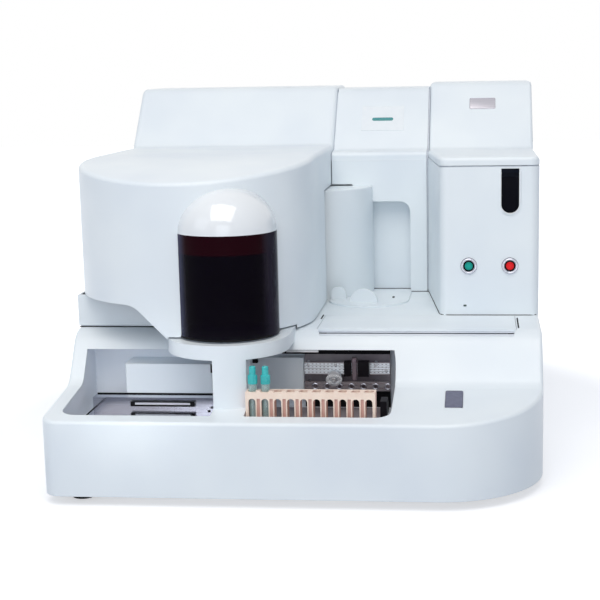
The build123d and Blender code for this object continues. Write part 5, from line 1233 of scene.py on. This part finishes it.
@dataclass
class LoadingPool(SubAssembly):
    """Loading pool: back plate, punched strip and hole rail with their eyelets, sensors and roller."""

    rail_y: float = -240.0
    hole_first: float = 16.5
    hole_pitch: float = 20.0
    holes: int = 7
    hole_z: float = 142.0
    hole_r: float = 3.5
    ring: Vec = (49.6, -256.0, 157.2)
    ring_size: Pair = (23.0, 12.4)
    hub: Vec = (49.6, -258.0, 157.2)
    plate_x: Pair = (-2.5, 140.0)
    latch: Vec = (-83.6, -232.0, 184.0)
    floor: Vec = (34.5, -302.5, 101.5)
    floor_size: Pair = (207.0, 155.0)
    # X and height of the two guides
    guides: Path = ((132.6, 9.0), (136.6, 16.0))
    # Left end, Y and Z of the roof channel, painted shade under the roof, and its section as height and reach
    channel: Vec = (-40.0, -221.5, 193.0)
    channel_section: Path = (
        (0, 0), (0, 3.0), (1.2, 3.0), (1.2, 1.2), (9.8, 1.2), (9.8, 3.0), (11.0, 3.0), (11.0, 0))
    bar: Vec = (-6.0, -223.0, 197.0)
    screws: tuple[Vec, ...] = ((5.5, -240.0, 178.0), (117.5, -240.0, 178.0), (50.5, -240.0, 178.0),
                               (134.0, -240.0, 170.0))

    finishes: ClassVar[dict[str, Finish]] = {
        "pool_back_plate": DARK_PLATE, "pool_rails": STRIP, "pool_sensors": SENSORS}

    def build(self) -> None:
        """Make the eyelets and the roller's ring, the black parts round the rack's lane, some of them painted
        shade, and the screws.
        """
        lip = [(self.hole_r + 0.9 + 0.9 * math.cos(t), 0.35 + 0.75 * math.sin(t)) for t in circle(8)]
        eyelet = revolve(lip, 24, closed=True)
        spots = [(self.hole_first + self.hole_pitch * i, self.rail_y, self.hole_z) for i in range(self.holes)]
        add_piece("rail_eyelets", [eyelet.placed(spot, **FRONT) for spot in spots], BRIGHT)
        add_piece("roller_ring", [ring_tube(*self.ring_size, 2.3).placed(self.ring, **FRONT)], RING)
        self.add_black_parts_and_shade()
        sheet = plate(*self.floor_size, 0.3, 2.0, 0.1)
        add_piece("lane_floor_sheet", [sheet.placed(self.floor)], DARK_PLATE)
        add_piece("roller_hub_screw", [screw_head(4.0).placed(self.hub, **FRONT)], STEEL)
        add_piece("channel_bar", [plate(54.0, 3.6, 1.6, 0.8).placed(self.bar, **FRONT)], STEEL)
        heads = [screw_head(2.6).placed(spot, **FRONT) for spot in self.screws]
        add_piece("strip_screws", heads, STEEL_UPRIGHT)

    def add_black_parts_and_shade(self) -> None:
        """Sweep the roof channel and put up the sheet under the rail, both black as painted shade, then the
        latch and the two guides.
        """
        low, high = self.plate_x
        x, y, z = self.channel
        # Painted shade: the black channel fills the gap under the roof, the black sheet the shade under the
        # rail
        black = [swept(np.array(self.channel_section), bent((x, y), (high, y)) + (0, 0, z)),
                 plate(high - low, 29.0, 0.5, 1.0).placed(((low + high) / 2, -221.0, 117.0), **FRONT),
                 plate(9.0, 9.0, 5.0, 1.2).placed(self.latch, **FRONT)]
        black += [plate(2.4, 150.0, tall, 0.9, 0.6).placed((side, -310.0, 101.2)) for side, tall in self.guides]
        add_piece("pool_black_parts_and_shade", black, BLACK)


@dataclass
class SampleRack(SubAssembly):
    """Sample rack with its tubes and fluted caps."""

    radius: float = 7.5
    flutes: int = 20
    flute_deep: float = 0.7
    fluted: Pair = (0.4, 12.7)

    finishes: ClassVar[dict[str, Finish]] = {"sample_rack": BEIGE, "sample_tubes": TUBE}

    def build(self) -> None:
        """Stand a fluted cap in for each plain one: a turned skirt with grooves, a step and a dished top."""
        low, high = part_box("tube_caps")
        base, top, middle = low.z / MM, high.z / MM, (low.y + high.y) / 2 / MM
        tall, wide = top - base, self.radius
        profile = [(5.6, 0.0), (7.1, 0.0), (wide, 0.5), (wide, 6.0), (wide, 12.6), (6.9, 13.5), (5.5, 14.0),
                   (5.2, 15.0), (5.2, tall - 2.0), (4.9, tall - 0.7), (4.2, tall), (3.2, tall),
                   (2.6, tall - 1.2)]
        cap = revolve(profile, 80, False, self.flutes, self.flute_deep, self.fluted)
        spots = [(low.x / MM + wide, middle, base), (high.x / MM - wide, middle, base)]
        piece = add_piece("fluted_caps", [cap.placed(spot) for spot in spots], CAP, "sample_rack")
        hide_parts("tube_caps")


@dataclass
class WorkArea(SubAssembly):
    """What stands under the drum lid: deck plate, reaction rotor with cuvettes, arms, probes, wash station,
    pump cover and the reagent table."""

    cuvettes: int = 24
    ring_radius: float = 80.0
    # Radius and height of the cuvette's wall, from its outer foot over the flange to its inner floor
    profile: Path = (
        (4.2, -43.2), (4.7, -0.2), (6.4, -0.1), (6.4, 0.8), (5.9, 1.1), (4.2, 1.1), (3.9, 0.6),
        (3.5, -42.0), (0.6, -42.4))

    finishes: ClassVar[dict[str, Finish]] = {
        "analysis_deck": PANEL, "deck_guides": STEEL, "reaction_rotor": ROTOR,
        "sample_lift": STEEL_UPRIGHT, "sample_arm": ARM, "sample_probe": BRIGHT,
        "reagent_lift": STEEL_UPRIGHT, "reagent_arm": ARM, "reagent_probe": BRIGHT, "wash_station": PANEL,
        "pump_cover": PANEL, "reagent_well": ZINC, "reagent_table": ROTOR, "reagent_vials": AMBER}

    def build(self) -> None:
        """Drop an open cuvette with a flange into every hole of the rotor."""
        low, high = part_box("reaction_rotor")
        x, y, top = (low.x + high.x) / 2 / MM, (low.y + high.y) / 2 / MM, high.z / MM
        cuvette = revolve(list(self.profile), 20)
        turn = 2 * math.pi * np.arange(self.cuvettes) / self.cuvettes
        spots = np.stack([x + self.ring_radius * np.cos(turn), y + self.ring_radius * np.sin(turn),
                          np.full(self.cuvettes, top)], -1)
        add_piece("rotor_cuvettes", [cuvette.placed(tuple(spot)) for spot in spots], TUBE, "reaction_rotor")


@dataclass
class RearPanel(SubAssembly):
    """Rear panel with its inlet, switch, fan, hose ports and screws."""

    back_y: float = 447.5
    screw_x: tuple[float, ...] = (-372.0, -190.0, 0.0, 190.0, 372.0)
    screw_z: Pair = (34.0, 566.0)
    flatness: float = 0.25

    finishes: ClassVar[dict[str, Finish]] = {
        "rear_panel": PANEL, "power_inlet": BLACK, "power_rocker": BLACK, "fan_frame": BLACK,
        "fan_rotor": BLACK, "fluid_ports": BLACK}

    def build(self) -> None:
        """Put a row of low screw heads, a quarter as tall as pan heads, along the top and the bottom."""
        head = screw_head(3.6)
        head.points[:, 2] *= self.flatness
        heads = [head.placed((x, self.back_y, z), **REAR) for x in self.screw_x for z in self.screw_z]
        add_piece("rear_screws", heads, STEEL_UPRIGHT)


@dataclass
class Studio:
    """Plain pale floor, soft lamps and a pale sky."""

    floor_colour: str = "#cdd0d6"
    floor_shade: str = "#d3d6db"
    floor_reach: float = 9000.0
    sky_fill: str = "#dfe6f2"
    fill: float = 0.52
    # Metres from the middle where the floor starts to fade to white, and where it has
    shadow_reach: Pair = (0.60, 0.95)
    # What the floor gives off near the object and far from it, where the camera sees it
    glow: Pair = (0.5, 1.1)

    def complete(self) -> None:
        """Make the floor, the sky and the lamps."""
        self.floor()
        self.sky()
        self.lamp("soft_top", (-0.1, -1.9, 3.1), (0.0, 0.0, 0.3), 2.6, 66.0, "#fff7ee")
        self.lamp("soft_front", (0.1, -3.6, 0.95), (0.0, 0.0, 0.25), 1.7, 11.0, "#eff7ff")
        self.lamp("pool_front", (-0.24, -0.86, 0.25), (-0.24, -0.27, 0.145), 0.16, 0.02, "#f4f9ff", 26.0)
        self.lamp("soft_left", (-2.6, -2.4, 1.8), (0.0, 0.0, 0.3), 1.8, 6.0, "#f4f8ff")

    def behind(self, paint: Paint) -> Socket:
        """Tell the rays that should see the plain background: camera, glossy and transmission rays.

        Args:
            paint: the floor's or the sky's paint.

        Returns:
            A socket that is 1 for them.
        """
        rays = paint.add("ShaderNodeLightPath").outputs
        shiny = paint.work("MAXIMUM", rays["Is Glossy Ray"], rays["Is Transmission Ray"])
        return paint.work("MAXIMUM", rays["Is Camera Ray"], shiny)

    def floor(self) -> None:
        """A wide floor that keeps the shadow round the object and fades to plain white for the camera."""
        side = self.floor_reach
        corners = np.array([(-side, -side, -1.0), (side, -side, -1.0), (side, side, -1.0), (-side, side, -1.0)])
        slab = loft(np.array([corners, corners + (0, 0, 1.0)]))
        mesh = bpy.data.meshes.new("floor")
        mesh.from_pydata((slab.points * MM).tolist(), [], slab.faces)
        floor = linked("floor", mesh)
        material, paint = start_material("matt_paper_floor")
        tone = paint.blend(paint.mottle(400.0, 0.0, 0.5), self.floor_colour, self.floor_shade)
        glow = paint.ramp(paint.length(paint.place), *self.shadow_reach, *self.glow, "SMOOTHSTEP")
        paint.give({"Base Color": tone, "Roughness": 0.9, "Emission Color": (1, 1, 1, 1),
                    "Emission Strength": paint.work("MULTIPLY", self.behind(paint), glow)})
        mesh.materials.append(material)

    def sky(self) -> None:
        """White where the camera sees it, a cool fill for everything else."""
        world = bpy.data.worlds.new("studio")
        bpy.context.scene.world = world
        world.use_nodes = True
        paint = Paint(world.node_tree)
        paint.tree.nodes.clear()
        fill = paint.add("ShaderNodeBackground", {"Color": linear(self.sky_fill), "Strength": self.fill})
        plain = paint.add("ShaderNodeBackground", {"Color": (1, 1, 1, 1), "Strength": 1.0})
        mixed = paint.add("ShaderNodeMixShader",
                          {0: self.behind(paint), 1: fill.outputs[0], 2: plain.outputs[0]})
        paint.add("ShaderNodeOutputWorld", {"Surface": mixed.outputs[0]})

    def lamp(self, name: str, spot: Vec, aim: Vec, side: float, power: float, colour: str,
             spread: float = 180.0) -> None:
        """Hang one square softbox.

        Args:
            name: the lamp's name.
            spot: where it hangs, in metres.
            aim: the point that it faces.
            side: its side in metres.
            power: its power in watts.
            colour: its light.
            spread: how many degrees its light opens to.
        """
        light = bpy.data.lights.new(name, "AREA")
        light.spread = math.radians(spread)
        light.size, light.energy, light.color = side, power, linear(colour)[:3]
        back = np.array(spot) - np.array(aim)
        back /= np.linalg.norm(back)
        right = np.cross((0, 0, 1), back)
        right /= np.linalg.norm(right)
        linked(name, light).matrix_world = turned(right, np.cross(back, right), back, spot)


@dataclass
class PhotoCamera:
    """The camera, fitted to the photograph: place in metres, angles in degrees, focal length and the
    column of its axis in pixels, and sensor width in millimetres."""

    spot: Vec = (0.2855, -2.3511, 0.6621)
    yaw: float = 6.004
    pitch: float = 10.036
    roll: float = -1.031
    focal: float = 1323.12
    centre: float = 342.0
    sensor: float = 36.0
    clip: Pair = (0.05, 60.0)

    def complete(self) -> None:
        """Turn the camera: level right and up by the roll, looking ahead by yaw and pitch."""
        yaw, pitch, roll = (math.radians(angle) for angle in (self.yaw, self.pitch, self.roll))
        ahead = np.array([-math.sin(yaw) * math.cos(pitch), math.cos(yaw) * math.cos(pitch), -math.sin(pitch)])
        level = np.array([math.cos(yaw), math.sin(yaw), 0.0])
        up = np.cross(level, ahead)
        data = bpy.data.cameras.new("photo_camera")
        data.sensor_fit, data.sensor_width = "HORIZONTAL", self.sensor
        data.lens = self.focal * self.sensor / PHOTO_SIDE
        data.shift_x = (PHOTO_SIDE / 2 - self.centre) / PHOTO_SIDE
        data.clip_start, data.clip_end = self.clip
        camera = linked("photo_camera", data)
        camera.matrix_world = turned(math.cos(roll) * level + math.sin(roll) * up,
                                     -math.sin(roll) * level + math.cos(roll) * up, -ahead, self.spot)
        bpy.context.scene.camera = camera


def main() -> None:
    """Build each group in order."""
    logging.basicConfig(level=logging.INFO, format="%(message)s")
    bpy.context.scene.view_settings.view_transform = "Standard"
    groups: list[Any] = [PhotoCamera(), Studio(), Housing(), MainLid(), WindowSeat(), CentreBay(), Tower(),
                         ReturnPool(), LoadingPool(), SampleRack(), WorkArea(), RearPanel()]
    for group in groups:
        LOG.info("group %s", type(group).__name__)
        group.complete()


if __name__ == "__main__":
    main()
